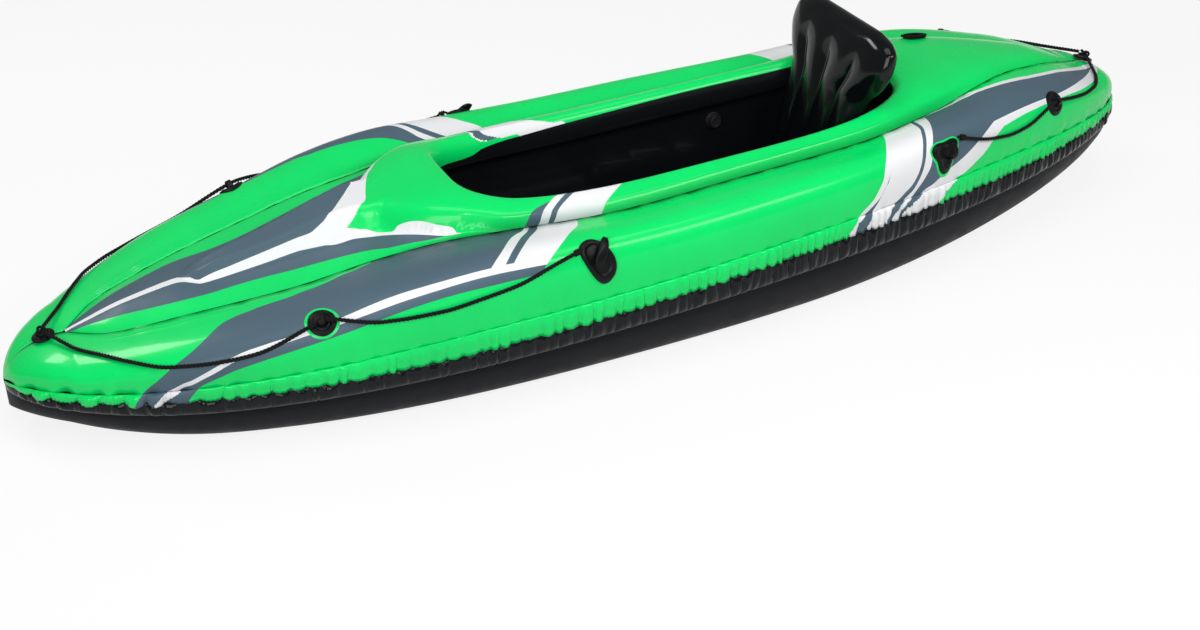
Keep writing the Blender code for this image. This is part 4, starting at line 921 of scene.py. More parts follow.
def pleats(run, xs, pitch, seed):
    # where each pleat starts along the band, with its own depth and slant
    g, random = gather, np.random.RandomState(seed)
    at, after = g["margins"]
    starts = []
    while at < run[-1] + after:
        starts.append(at)
        at += float(pitch(np.interp(at, run, xs))) * random.uniform(*g["pitchRange"])
    count = len(starts)
    return np.array(starts), random.uniform(*g["depthRange"], count), random.uniform(*g["slantRange"], count)


def pleatHeight(at, starts, depths):
    # rounded puffs with pinched creases between them
    i = np.clip(np.searchsorted(starts, at, "right") - 1, 0, len(starts) - 2)
    t = (at - starts[i]) / (starts[i + 1] - starts[i])
    return depths[i] * (np.sin(pi * np.clip(t, 0, 1)) ** gather["roundness"])


def puffs(at, plan, t, colour, phase, shift=0.0):
    # height of a strip's pleats and their fine crinkles, t of the way down the strip
    g, (starts, depths, slants) = gather, plan
    slanted = at + np.interp(at, starts, slants) * g[colour + "Slant"] * t
    crinkles = g["crinkle"] / g[colour + "Puff"] * waves(slanted + shift * t, g["crinklePitch"], phase)
    return pleatHeight(slanted, starts, depths) + crinkles


def makeBands():
    g, reach = gather, hull["halfLength"]
    limit = asin(g["endX"] / reach)
    fine = reach * np.sin(np.linspace(-limit, limit, g["fineSteps"]))
    greenPitch, blackPitch = smoothCurve(g["greenPitch"]), smoothCurve(g["blackPitch"])
    gap, tapering, least = g["taper"]
    more, start, growing = g["bowFullness"]
    top, turn = g["greenTop"], 90 - g["greenTop"]
    for name, side in sides:

        def addStrip(colour, rows, materials, inks=None):
            faces = gridFaces(len(rows), len(rows[0]), False, side < 0)
            thicken(addPiece(name + colour.title() + "Gathers", np.concatenate(rows), faces, materials, "hull",
                             colour + "_vinyl", [name + "_" + colour + "_gather_band"], inks), g["thickness"])

        line = tubePlace(fine, np.full(len(fine), radians(g["chineDegrees"])), side)
        run = np.concatenate([[0], np.cumsum(np.linalg.norm(np.diff(line, axis=0), axis=1))])
        at = np.arange(0, run[-1], g["alongStep"])
        x = np.interp(at, run, fine)
        taper = np.clip((reach - gap - np.abs(x)) / tapering, least, 1)
        # green strip, from the tube's lower weld down to the chine
        plan = pleats(run, fine, greenPitch, g["seed"] + (side > 0))
        fullness = 1 + more * easeStep((x - start) / growing)
        hem = g["edgeWave"] * (pleatHeight(at, *plan[:2]) - g["hemMiddle"]) * fullness
        rows = []
        for t in np.arange(g["greenRows"]) / (g["greenRows"] - 1):
            angle = np.full(len(x), radians(top + turn * t))
            normal = skinNormals(tubePlace, x, np.minimum(angle, radians(89)), side)
            swell = t ** 0.55 * (1 - 0.35 * t) * g["greenFullness"] * fullness
            lift = (g["greenLift"] + g["standOff"] * sin(pi * min(t * 1.1, 1))
                    + g["greenPuff"] * puffs(at, plan, t, "green", side) * swell)
            place = tubePlace(x, angle, side) + normal * (lift * taper)[:, None]
            place[:, 2] -= (g["hemDrop"] + hem) * t ** 1.5 * taper
            rows.append(place)
        hemLine = rows[-1]
        middles = [sideSheet(v, top + turn * (i + 0.5) / (len(rows) - 1)) for i in range(len(rows) - 1)
                   for v in 0.5 * (x[1:] + x[:-1])]
        addStrip("green", rows, printInks, inkAt(np.array(middles), sideLayers(side)))
        # black strip, from just under the green hem down to the bottom's weld
        plan = pleats(run, fine, blackPitch, g["seed"] + g["blackSeed"] + (side > 0))
        rows = []
        for t in np.arange(g["blackRows"]) / (g["blackRows"] - 1):
            angle = np.full(len(x), radians(g["blackLow"] * t))
            normal = skinNormals(bilgePlace, x, np.maximum(angle, radians(1)), side)
            swell = sin(pi * min(g["blackStart"] + (1 - g["blackStart"]) * t, 1.0)) ** 0.8
            puff = puffs(at, plan, t, "black", 2 + side, g["blackShift"])
            lift = g["blackLift"] + (g["blackStandOff"] * g["standOff"] + g["blackPuff"] * puff) * swell
            place = bilgePlace(x, angle, side) + normal * (lift * taper)[:, None]
            hold = (1 - t) ** 3
            rows.append(place * (1 - hold) + (hemLine - np.array((0, side * g["tuck"], 0))) * hold)
        addStrip("black", rows, [glossBlackVinyl])
    print("gathered bands:", len(x), "columns")


# fittings on the side chambers, each given by its middle (x, degrees round the tube)

def asFrame(place, normal, forward):
    # a matrix whose Z is the normal and whose X is as near to forward as it can be
    normal = Vector(normal).normalized()
    forward = Vector(forward)
    forward = (forward - normal * forward.dot(normal)).normalized()
    matrix = Matrix((forward, normal.cross(forward), normal)).transposed().to_4x4()
    matrix.translation = place
    return matrix


def tubeFrame(x, degrees, side):
    # place, outward normal, and the skin's two speeds
    ahead, roundIt = tubeSpeeds(x, radians(degrees), side)
    normal = Vector(np.cross(ahead, roundIt)).normalized()
    if normal.y * side < 0:
        normal = -normal
    return Vector(tubePlace(x, radians(degrees), side)), normal, Vector(ahead), Vector(roundIt)


def tubePatch(centre, side, profile, reach, tilt=0.0, count=72):
    # a closed moulding that follows the tube: profile of (share of the reach, height)
    x, degrees = centre
    ahead, roundIt = tubeFrame(x, degrees, side)[2:]
    rows = []
    for share, height in profile:
        for i in range(count):
            turn = 2 * pi * i / count
            r = reach(turn) * share
            angle = radians(degrees) - r * sin(turn + tilt) / roundIt.length
            spot, out = tubeFrame(x + r * cos(turn + tilt) / ahead.length, np.degrees(angle), side)[:2]
            rows.append(spot + out * height)
    return rows, cappedFaces(len(profile), count, side > 0)


moulding = {
    "eyelet": ((1.0, 0.0002), (1.0, 0.0018), (0.985, 0.0026), (0.955, 0.0031), (0.90, 0.0033), (0.83, 0.0033),
               (0.805, 0.0037), (0.79, 0.0046), (0.765, 0.0053), (0.72, 0.0056), (0.67, 0.0055), (0.635, 0.0050),
               (0.615, 0.0042), (0.60, 0.0037), (0.55, 0.0036), (0.50, 0.0037), (0.48, 0.0042), (0.45, 0.0045),
               (0.41, 0.0044), (0.39, 0.0038), (0.36, 0.0036), (0.20, 0.0036), (0.05, 0.0036)),
    "handle": ((1.0, 0.0002), (1.0, 0.0022), (0.985, 0.0040), (0.955, 0.0060), (0.915, 0.0074), (0.86, 0.0081),
               (0.80, 0.0080), (0.745, 0.0074), (0.705, 0.0064), (0.675, 0.0050), (0.65, 0.0038), (0.61, 0.0033),
               (0.40, 0.0032), (0.20, 0.0032), (0.04, 0.0032)),
    "tiePatch": ((1.0, 0.0002), (1.0, 0.0018), (0.985, 0.0027), (0.95, 0.0034), (0.90, 0.0037), (0.86, 0.0038),
                 (0.845, 0.0045), (0.82, 0.0052), (0.76, 0.0055), (0.70, 0.0053), (0.67, 0.0046), (0.655, 0.0036),
                 (0.64, 0.0031), (0.35, 0.0030), (0.05, 0.0030)),
    "endEyelet": ((0.0240, 0.0), (0.0240, 0.0016), (0.0234, 0.0027), (0.0222, 0.0033), (0.0190, 0.0035),
                  (0.0182, 0.0040), (0.0174, 0.0050), (0.0160, 0.0055), (0.0140, 0.0054), (0.0128, 0.0047),
                  (0.0120, 0.0040), (0.0080, 0.0039), (0.0020, 0.0039)),
    "tongue": ((-0.044, 0.0050, 0.0050, 0.0), (-0.037, 0.0082, 0.0105, 0.0008), (-0.026, 0.0103, 0.0150, 0.0016),
               (-0.008, 0.0110, 0.0180, 0.0090), (0.006, 0.0102, 0.0175, 0.0098), (0.015, 0.0075, 0.0152, 0.0098),
               (0.019, 0.0030, 0.0130, 0.0106)),
    "handleHalfLength": 0.049, "handleHalfWidth": 0.030, "handleSquareness": 2.4, "handleTilt": 60.0,
    "tongueCount": 28, "tongueRoundness": 0.62, "ropeHeight": 0.0105,
    "bridge": (0.0062, 0.0026, 0.0125, 0.0105), "tieStrap": (0.0150, 0.0040, 0.0120, 0.0070), "tieStrapShift": -0.011,
    "tieStrapTurn": -14, "strapSides": 16, "strapSteps": 12, "strapFoot": 0.0012, "strapFlare": (0.35, 0.6),
    "strapRoundness": (0.5, 0.6),
}


def handleReach(turn):
    m, power = moulding, moulding["handleSquareness"]
    reach = (abs(cos(turn)) / m["handleHalfLength"]) ** power + (abs(sin(turn)) / m["handleHalfWidth"]) ** power
    return reach ** (-1 / power)


def archBridge(spot, inner, thickness, width, height):
    # a rounded strap that stands over the rope: legs, then half a turn
    m, reach = moulding, inner + thickness / 2
    sidesCount, steps = m["strapSides"], m["strapSteps"]
    more, share = m["strapFlare"]
    flat, square = m["strapRoundness"]
    legs = [(reach, 0.5 * height), (reach, m["strapFoot"])]
    arch = [(-reach * cos(pi * k / steps), height + reach * sin(pi * k / steps)) for k in range(steps + 1)]
    points = [Vector((0.0, y, z)) for y, z in [(-y, z) for y, z in reversed(legs)] + arch + legs]
    turns = [2 * pi * i / sidesCount for i in range(sidesCount)]
    section = [(0.5 * width * signedPower(cos(turn), flat), 0.5 * thickness * signedPower(sin(turn), square))
               for turn in turns]
    rows = []
    for i, point in enumerate(points):
        along = (points[min(i + 1, len(points) - 1)] - points[max(i - 1, 0)]).normalized()
        out = Vector((0.0, -along.z, along.y))
        flare = 1.0 + more * max(0.0, 1 - point.z / (share * height))
        rows += [spot @ (point + Vector((u * flare, 0, 0)) + out * v) for u, v in section]
    return rows, cappedFaces(len(points), sidesCount)


def joined(parts):
    vertices, faces = [], []
    for points, polygons in parts:
        faces += [tuple(k + len(vertices) for k in polygon) for polygon in polygons]
        vertices += list(points)
    return vertices, faces


def addSolid(name, parts, material, body, slot, replaced):
    # closed shapes joined in one piece, faces turned outwards
    item = addPiece(name, *joined(parts), [material], body, slot, replaced)
    faceOutward(item.data)


def makeSideFittings():
    m = moulding
    for name, side in sides:
        for end in ("fore", "aft"):
            centre, route = fittings[end + "Eyelet"], lifeline[end]
            place, normal = tubeFrame(*centre, side)[:2]
            step = route.index(centre)
            before, after = (tubeFrame(*route[step + k], side)[0] for k in (-1, 1))
            patch = tubePatch(centre, side, m["eyelet"], lambda turn: fittings["eyeletRadius"])
            bridge = archBridge(asFrame(place, normal, after - before), *m["bridge"])
            addSolid(name + end.title() + "Eyelet", [patch, bridge], mouldedVinyl, "hull", "moulded_vinyl",
                     [name + "_" + end + "_eyelet"])
        makeHandle(name, side)
        patch = tubePatch(fittings["tiePatch"], side, m["tiePatch"], lambda turn: triangleReach(turn - pi / 2),
                          radians(-90))
        place, normal, ahead = tubeFrame(*fittings["tiePatch"], side)[:3]
        spot = asFrame(place, normal, ahead) @ Matrix.Translation((m["tieStrapShift"], 0.0, 0.0))
        strap = archBridge(spot @ Matrix.Rotation(side * radians(m["tieStrapTurn"]), 4, "Z"), *m["tieStrap"])
        addSolid(name + "TiePatch", [patch, strap], mouldedVinyl, "hull", "moulded_vinyl", [name + "_tie_patch"])
    print("side fittings made")


def makeHandle(name, side):
    # an oval moulding with a raised rim, and a finger tongue that rises from one end
    m, count, power = moulding, moulding["tongueCount"], moulding["tongueRoundness"]
    tilt = radians(m["handleTilt"])
    patch = tubePatch(fittings["handle"], side, m["handle"], handleReach, tilt, 96)
    place, normal, ahead = tubeFrame(*fittings["handle"], side)[:3]
    spot = asFrame(place, normal, ahead) @ Matrix.Rotation(side * tilt, 4, "Z")
    stations = curved(m["tongue"], 4)
    tongue = []
    for along, width, top, low in stations:
        for turn in (2 * pi * i / count for i in range(count)):
            z = 0.5 * (top + low) + 0.5 * (top - low) * signedPower(sin(turn), power)
            tongue.append(spot @ Vector((along, width * signedPower(cos(turn), power), z)))
    addSolid(name + "Handle", [patch, (tongue, cappedFaces(len(stations), count))], mouldedVinyl, "hull",
             "moulded_vinyl", [name + "_handle"])


# lifeline: the routes as (x, degrees round the tube)
lifeline = {
    "fore": ((1.217, 16.0), (1.181, 23.5), (1.136, 37.3), (1.088, 50.2), (0.998, 57.1), (0.905, 56.5), (0.838, 48.3),
             (0.802, 44.0), (0.780, 42.0), (0.758, 43.8), (0.725, 50.4), (0.685, 57.7), (0.613, 63.3), (0.544, 65.3),
             (0.472, 64.5), (0.385, 61.3), (0.316, 53.9), (0.262, 47.5)),
    "aft": ((-0.7215, 51.6), (-0.748, 56.5), (-0.789, 62.0), (-0.869, 67.0), (-0.940, 64.0), (-0.985, 56.5),
            (-1.010, 52.2), (-1.031, 50.7), (-1.052, 50.4), (-1.090, 51.5), (-1.154, 51.0), (-1.215, 42.0),
            (-1.250, 28.0)),
    "radius": 0.0035, "clearance": 0.0024, "bridgeReach": 0.050, "longestSpan": 0.070, "gap": 0.00035,
    "bowX": 1.268, "sternX": -1.292, "endLift": 0.0045, "knotRadius": 0.0150, "knotHeight": 0.0125,
    "layLength": 0.024, "ringStep": 0.0021, "fullness": 1.30, "strandShare": 0.482,
    "barrel": {"turns": 2.25, "steps": 32, "winding": 0.0047, "foot": 0.0024, "length": 0.0098, "radius": 0.0032,
               "lay": 0.020, "head": ((0, 0, -0.002), (0.0022, 0, 0.0008)),
               "tail": ((0.0018, 0.0020, 0.0135), (0.0, 0.0, 0.0160), (-0.0010, 0.0005, 0.0200))},
    "overhand": {"size": 0.0039, "height": 1.12, "lift": 0.0006, "radius": 0.0034, "lay": 0.021, "steps": 104,
                 "tucked": 4},
}


def endPlace(x):
    # a fitting on the centreline where the two side chambers meet
    small = 0.01
    slope = float(seamAt(x + small)[1] - seamAt(x - small)[1]) / (2 * small)
    return Vector((x, 0.0, float(seamAt(x)[1]))), Vector((-slope, 0.0, 1.0)).normalized()


def ropePlaces(end, side):
    # the same points as the solid's: on the skin, lifted through the bridge, and up to the end knot
    s = lifeline
    bridgeX = fittings[end + "Eyelet"][0]
    rise = s["radius"] + s["clearance"]
    points = []
    for x, degrees in s[end]:
        place, normal = tubeFrame(x, degrees, side)[:2]
        near = exp(-((x - bridgeX) / s["bridgeReach"]) ** 2)
        points.append(place + normal * (rise + (moulding["ropeHeight"] - rise) * near))
    place, normal = endPlace(s["bowX"] if end == "fore" else s["sternX"])
    middle = place + normal * (s["endLift"] + s["knotHeight"])
    away = (points[0] if end == "fore" else points[-1]) - middle
    away = (away - normal * away.dot(normal)).normalized()
    last = middle + away * (s["knotRadius"] + 2 * s["gap"])
    points = [last] + points if end == "fore" else points + [last]
    ends = [points[0] * 2 - points[1]] + points + [points[-1] * 2 - points[-2]]
    places = [points[0]]
    for before, first, second, after in zip(ends, ends[1:], ends[2:], ends[3:]):
        if (second - first).length > s["longestSpan"]:
            places.append((9 * (first + second) - before - after) / 16)
        places.append(second)
    return places


def nodeTree(name, values):
    # a geometry tree with these inputs, and its input node's outputs
    tree = bpy.data.node_groups.new(name, "GeometryNodeTree")
    tree.interface.new_socket("Geometry", in_out="INPUT", socket_type="NodeSocketGeometry")
    for key, value in values.items():
        kind = "NodeSocketInt" if isinstance(value, int) else "NodeSocketFloat"
        tree.interface.new_socket(key, in_out="INPUT", socket_type=kind).default_value = value
    tree.interface.new_socket("Geometry", in_out="OUTPUT", socket_type="NodeSocketGeometry")
    return tree, addNode(tree, "NodeGroupInput").outputs


def endTree(tree, geometry, material):
    real = addNode(tree, "GeometryNodeRealizeInstances", {"Geometry": geometry})
    finish = addNode(tree, "GeometryNodeSetMaterial", {"Geometry": real.outputs["Geometry"], "Material": material})
    addNode(tree, "NodeGroupOutput", {"Geometry": finish.outputs["Geometry"]})
    return tree


def ropeTree():
    # three strands laid round each other along the curve
    s = lifeline
    tree, entry = nodeTree("laidRope", {"Rope radius": s["radius"], "Lay length": s["layLength"],
                                        "Ring step": s["ringStep"]})

    def maths(operation, first, second):
        return addNode(tree, "ShaderNodeMath", {0: first, 1: second}, operation=operation).outputs[0]

    line = addNode(tree, "GeometryNodeResampleCurve", {"Curve": entry["Geometry"], "Length": entry["Ring step"]},
                   mode="LENGTH")
    along = addNode(tree, "GeometryNodeSplineParameter").outputs["Length"]
    twist = maths("MULTIPLY", maths("DIVIDE", along, entry["Lay length"]), 2 * pi)
    twisted = addNode(tree, "GeometryNodeSetCurveTilt", {"Curve": line.outputs["Curve"], "Tilt": twist})
    strand = addNode(tree, "GeometryNodeCurvePrimitiveCircle",
                     {"Resolution": 8, "Radius": maths("MULTIPLY", entry["Rope radius"], s["strandShare"])})
    ring = addNode(tree, "GeometryNodeMeshCircle",
                   {"Vertices": 3, "Radius": maths("MULTIPLY", entry["Rope radius"], 1 - s["strandShare"])})
    three = addNode(tree, "GeometryNodeInstanceOnPoints",
                    {"Points": ring.outputs["Mesh"], "Instance": strand.outputs["Curve"]})
    section = addNode(tree, "GeometryNodeRealizeInstances", {"Geometry": three.outputs["Instances"]})
    sweep = addNode(tree, "GeometryNodeCurveToMesh",
                    {"Curve": twisted.outputs["Curve"], "Profile Curve": section.outputs["Geometry"],
                     "Fill Caps": True})
    return endTree(tree, sweep.outputs["Mesh"], blackRope)


def socketId(tree, name):
    return next(item.identifier for item in tree.interface.items_tree
                if item.item_type == "SOCKET" and item.in_out == "INPUT" and item.name == name)


def bakeNodes(name, source, tree, values):
    # evaluates a node tree on an object and keeps the result as a plain mesh
    modifier = source.modifiers.new("nodes", "NODES")
    modifier.node_group = tree
    for key, value in values.items():
        modifier[socketId(tree, key)] = value
    bpy.context.view_layer.update()
    graph = bpy.context.evaluated_depsgraph_get()
    mesh = bpy.data.meshes.new_from_object(source.evaluated_get(graph), depsgraph=graph)
    mesh.name = name
    bpy.data.objects.remove(source)
    mesh.shade_smooth()
    return linked(name, mesh)


def fineLine(places, parts=6):
    return [Vector(p) for p in curved([tuple(p) for p in places], parts)]


def curveObject(name, places):
    data = bpy.data.curves.new(name, "CURVE")
    data.dimensions = "3D"
    spline = data.splines.new("POLY")
    spline.points.add(len(places) - 1)
    for point, place in zip(spline.points, places):
        point.co = (*place, 1.0)
    return linked(name, data)


def makeRope(name, places, tree, radius, replaced, layLength=lifeline["layLength"]):
    item = bakeNodes(name, curveObject(name + "Line", places), tree,
                     {"Rope radius": radius, "Lay length": layLength, "Ring step": lifeline["ringStep"]})
    return settle(item, "hull", replaced)


def barrelKnot(tip, along, normal):
    # turns wound round the rope's end, with a short tail
    b = lifeline["barrel"]
    spot = asFrame(tip + normal * b["foot"], along, normal)
    points = list(b["head"])
    for t in (k / b["steps"] for k in range(b["steps"] + 1)):
        turn = 2 * pi * b["turns"] * t
        points.append((b["winding"] * cos(turn), b["winding"] * sin(turn), b["foot"] + b["length"] * t))
    return fineLine([spot @ Vector(p) for p in points + list(b["tail"])], 3)


def endKnot(x):
    # a closed overhand turn lying on the end eyelet, its two ends tucked underneath
    k = lifeline["overhand"]
    place, normal = endPlace(x)
    spot = asFrame(place + normal * (lifeline["endLift"] + lifeline["knotHeight"] + k["lift"]), normal, (1, 0, 0))
    points = []
    for t in (2 * pi * i / k["steps"] for i in range(k["tucked"], k["steps"] - k["tucked"] + 1)):
        away = k["size"] * (2 + cos(3 * t))
        points.append(spot @ Vector((away * cos(2 * t), away * sin(2 * t), k["height"] * k["size"] * sin(3 * t))))
    return points


def makeLifelines():
    s = lifeline
    tree = ropeTree()
    for name, side in sides:
        for end in ("fore", "aft"):
            places = ropePlaces(end, side)
            fine = fineLine(places)
            piece = makeRope(name + end.title() + "Rope", fine, tree, s["fullness"] * s["radius"],
                             [name + "_" + end + "_rope"])
            route = s[end]
            order = (route[-1], route[-2]) if end == "fore" else route[:2]
            tipPlace, tipNormal = tubeFrame(*order[0], side)[:2]
            nextPlace, nextNormal = tubeFrame(*order[1], side)[:2]
            rise = s["radius"] + s["clearance"]
            tip = tipPlace + tipNormal * rise
            along = (tip - nextPlace - nextNormal * rise).normalized()
            which = "handle" if end == "fore" else "tie"
            makeRope(name + which.title() + "Knot", barrelKnot(tip, along, tipNormal), tree, s["barrel"]["radius"],
                     [name + "_" + which + "_knot"], s["barrel"]["lay"])
    for name, x in (("bow", s["bowX"]), ("stern", s["sternX"])):
        makeRope(name + "Knot", endKnot(x), tree, s["overhand"]["radius"], [name + "_knot"], s["overhand"]["lay"])
        place, normal = endPlace(x)
        spot = asFrame(place + normal * s["endLift"], normal, (1, 0, 0))
        addSolid(name + "Eyelet", [turned(moulding["endEyelet"], spot, 64)], mouldedVinyl, "hull", "moulded_vinyl",
                 [name + "_eyelet"])
    print("lifelines made")
    return tree


def turned(profile, spot, count=48, reach=None):
    # a closed turned shape: profile of (radius, height) from the rim's foot to the middle of the top
    points = []
    for radius, height in profile:
        for turn in (2 * pi * i / count for i in range(count)):
            r = radius * (reach(turn, radius) if reach else 1.0)
            points.append(spot @ Vector((r * cos(turn), r * sin(turn), height)))
    return points, cappedFaces(len(profile), count)


hank = {"place": (-0.868, -0.115), "radius": 0.0015, "lift": 0.0020, "inner": 0.0125, "step": 0.0060, "rise": 0.0042,
        "layers": 2, "turns": 3, "pointsPerTurn": 24, "stretch": (1.25, 0.9), "heading": (1, 0.4, 0), "lay": 0.009}


def hankPlaces():
    h = hank
    long, wide = h["stretch"]
    points = []
    steps = h["turns"] * h["pointsPerTurn"]
    climb = h["pointsPerTurn"] // 2
    for layer in range(h["layers"]):
        for i in range(steps):
            t = i / h["pointsPerTurn"]
            out = t if layer % 2 == 0 else h["turns"] - t
            turn = 2 * pi * (layer * h["turns"] + t)
            radius = h["inner"] + h["step"] * out
            rise, left = layer, steps - i
            if layer < h["layers"] - 1 and left <= climb:
                rise = layer + 0.5 - 0.5 * cos(pi * (1 - left / climb))
            points.append((long * radius * cos(turn), wide * radius * sin(turn), h["rise"] * rise))
    x, y = h["place"]
    small = 0.01
    slopeX = float(deckTop(x + small, y) - deckTop(x - small, y)) / (2 * small)
    slopeY = float(deckTop(x, y + small) - deckTop(x, y - small)) / (2 * small)
    normal = Vector((-slopeX, -slopeY, 1.0)).normalized()
    spot = asFrame(Vector((x, y, float(deckTop(x, y)))) + normal * h["lift"], normal, h["heading"])
    return [spot @ Vector(p) for p in points]


def makeHank(tree):
    fine = fineLine(hankPlaces(), 3)
    piece = makeRope("tieCordHank", fine, tree, lifeline["fullness"] * hank["radius"], ["tie_cord_hank"],
                     hank["lay"])


# valves
valveSettings = {
    "smallScale": 0.62, "wallPlace": (-0.375, 0.20398, 0.232), "floorPlace": (0.27, 0.0, 0.10667), "ribs": 28,
    "seatHinge": (-0.1327, 0.15344), "hingeReach": 0.0185, "hingeHeight": 0.0132,
    "backrestPlace": (0.25, 0.5), "gap": 0.00035,
    "base": ((0.0210, 0.0), (0.0210, 0.0016), (0.0204, 0.0025), (0.0190, 0.0031), (0.0165, 0.0034), (0.0143, 0.0036),
             (0.0136, 0.0042), (0.0131, 0.0060), (0.0128, 0.0100), (0.0124, 0.0108), (0.0116, 0.0110),
             (0.0104, 0.0110), (0.0097, 0.0106), (0.0095, 0.0060), (0.0092, 0.0033)),
    "cap": ((0.0078, 0.0062), (0.0086, 0.0066), (0.0088, 0.0074), (0.0088, 0.0112), (0.0100, 0.0114),
            (0.0146, 0.0114), (0.0148, 0.0118), (0.0148, 0.0146), (0.0145, 0.0154), (0.0136, 0.0162),
            (0.0126, 0.0165), (0.0112, 0.0164), (0.0104, 0.0158), (0.0060, 0.0156), (0.0010, 0.0156)),
    "ribPlan": {"Rim radius": 0.0146, "Rib height": 0.0028, "Rib width": 0.0011, "Rim middle": 0.0132},
    "flap": (0.0084, 0.0032, 0.0008), "tab": (0.26, 0.30, 0.0125),
}


def valveTree():
    # grip ribs round a cap's edge
    v = valveSettings
    tree, entry = nodeTree("capRibs", {"Ribs": v["ribs"], **v["ribPlan"]})

    def vector(**parts):
        return addNode(tree, "ShaderNodeCombineXYZ", parts).outputs["Vector"]

    ring = addNode(tree, "GeometryNodeMeshCircle", {"Vertices": entry["Ribs"], "Radius": entry["Rim radius"]})
    lifted = addNode(tree, "GeometryNodeTransform",
                     {"Geometry": ring.outputs["Mesh"], "Translation": vector(Z=entry["Rim middle"])})
    size = vector(X=entry["Rib width"], Y=entry["Rib width"], Z=entry["Rib height"])
    rib = addNode(tree, "GeometryNodeMeshCube", {"Size": size})
    index = addNode(tree, "GeometryNodeInputIndex").outputs["Index"]
    turn = addNode(tree, "ShaderNodeMath", {0: index, 1: v["ribs"] / (2 * pi)}, operation="DIVIDE")
    ribs = addNode(tree, "GeometryNodeInstanceOnPoints",
                   {"Points": lifted.outputs["Geometry"], "Instance": rib.outputs["Mesh"],
                    "Rotation": vector(Z=turn.outputs[0])})
    both = addNode(tree, "GeometryNodeJoinGeometry", {"Geometry": entry["Geometry"]})
    setInputs(tree, both, {"Geometry": ribs.outputs["Instances"]})
    return endTree(tree, both.outputs["Geometry"], valvePlastic)


def capReach(k):
    # the broad top of a cap carries the hinge tab
    more, spreading, inner = valveSettings["tab"]

    def reach(turn, radius):
        away = (turn + pi) % (2 * pi) - pi
        return 1.0 + more * exp(-(away / spreading) ** 2) if radius > inner * k else 1.0
    return reach


def makeValve(name, spot, body, k, tree, withFlap=True):
    v, count = valveSettings, 48
    title = name.split("_")[0] + "Valve"
    points, faces = turned([(r * k, h * k) for r, h in v["base"]], spot, count)
    last = (len(v["base"]) - 1) * count
    faces = faces[:-2] + [(i, (i + 1) % count, last + (i + 1) % count, last + i) for i in range(count)]
    addSolid(title + "Base", [(points, faces)], valvePlastic, body, "valve_plastic", [name + "_base"])
    shape = turned([(r * k, h * k) for r, h in v["cap"]], Matrix(), 64, capReach(k))
    source = linked(title + "CapTurned", plainMesh(title + "CapTurned", *shape))
    item = bakeNodes(title + "Cap", source, tree,
                     {"Ribs": v["ribs"], **{key: size * k for key, size in v["ribPlan"].items()}})
    item.data.transform(spot)
    faceOutward(item.data)
    settle(item, name + "_cap_body", [name + "_cap"])
    if withFlap:
        radius, low, thickness = v["flap"]
        low = low * k + v["gap"]
        flap = turned([(radius * k, low), (radius * k, low + thickness), (0.0010, low + thickness)], spot)
        addSolid(title + "Flap", [flap], mouldedVinyl, "hull", "valve_rubber", [name + "_flap"])


def ovalHalfWidth(x, centre, halfLength, halfWidth, squareness):
    t = min(abs(x - centre) / halfLength, 1.0)
    return halfWidth * (1 - t ** squareness) ** (1 / squareness)


def makeValves():
    v, k, height = valveSettings, valveSettings["smallScale"], valveSettings["hingeHeight"]
    up, ahead = (0, 0, 1), (1, 0, 0)
    tree = valveTree()
    x, y, z = v["wallPlace"]
    for name, side in sides:
        makeValve(name + "_valve", asFrame((x, side * (y + height), z), (0, -side, 0), up), "hull", 1.0, tree)
    x, y, z = v["floorPlace"]
    makeValve("floor_valve", asFrame((x, y, z - height), up, ahead), "hull", 1.0, tree)
    s, t = v["backrestPlace"]
    place = (-(backrestBulge(s, t) + v["gap"]), s * float(backrestWidth(t)), t * backrest["height"])
    makeValve("backrest_valve", backrestMatrix() @ asFrame(place, (-1, 0, 0), up), "backrest", k, tree, False)
    x, z = v["seatHinge"]
    makeValve("seat_valve", asFrame((x - v["hingeReach"] * k, 0.0, z - height * k), up, ahead), "hull", k, tree, False)
    print("valves made")


# floor, seat and backrest
floorSettings = {"ribs": 5, "low": 0.076, "high": 0.0955, "edge": 0.004, "base": 0.0632, "centre": -0.145,
                 "halfLength": 0.5553, "halfWidth": 0.2178, "squareness": 5.0, "endShare": 0.985, "inset": 0.0035,
                 "pinch": 0.0004, "pinchPitch": 0.034, "pinchShift": 0.11, "roundness": 0.6, "endPower": 8,
                 "steps": (200, 181)}


def makeFloor():
    f = floorSettings
    count, across = f["steps"]
    halfLength, low = f["halfLength"] * f["endShare"], f["base"] + f["edge"]
    s = np.linspace(-1, 1, across)
    rib = (s + 1) / 2 * f["ribs"]
    crown = np.abs(np.sin(pi * rib)) ** f["roundness"]
    top, under = [], []
    for x in f["centre"] - halfLength * np.cos(np.linspace(0, pi, count)):
        t = (x - f["centre"]) / halfLength
        width = ovalHalfWidth(x, f["centre"], f["halfLength"], f["halfWidth"], f["squareness"]) - f["inset"]
        pinch = f["pinch"] * waves(x + f["pinchShift"] * np.floor(rib), f["pinchPitch"], 0.6) * (1 - crown)
        height = f["low"] + (f["high"] - f["low"]) * crown + pinch
        z = low + (height - low) * padEdge(t, f["endPower"])
        top.append(np.column_stack([np.full(across, x), s * width, z]))
        under.append(np.column_stack([np.full(across, x), s * width, np.full(across, f["base"])]))
    addSolid("ribbedFloor", [padMesh(top, under, across, True)], floorVinyl, "hull", "black_vinyl", ["floor_chamber"])
    print("floor made")


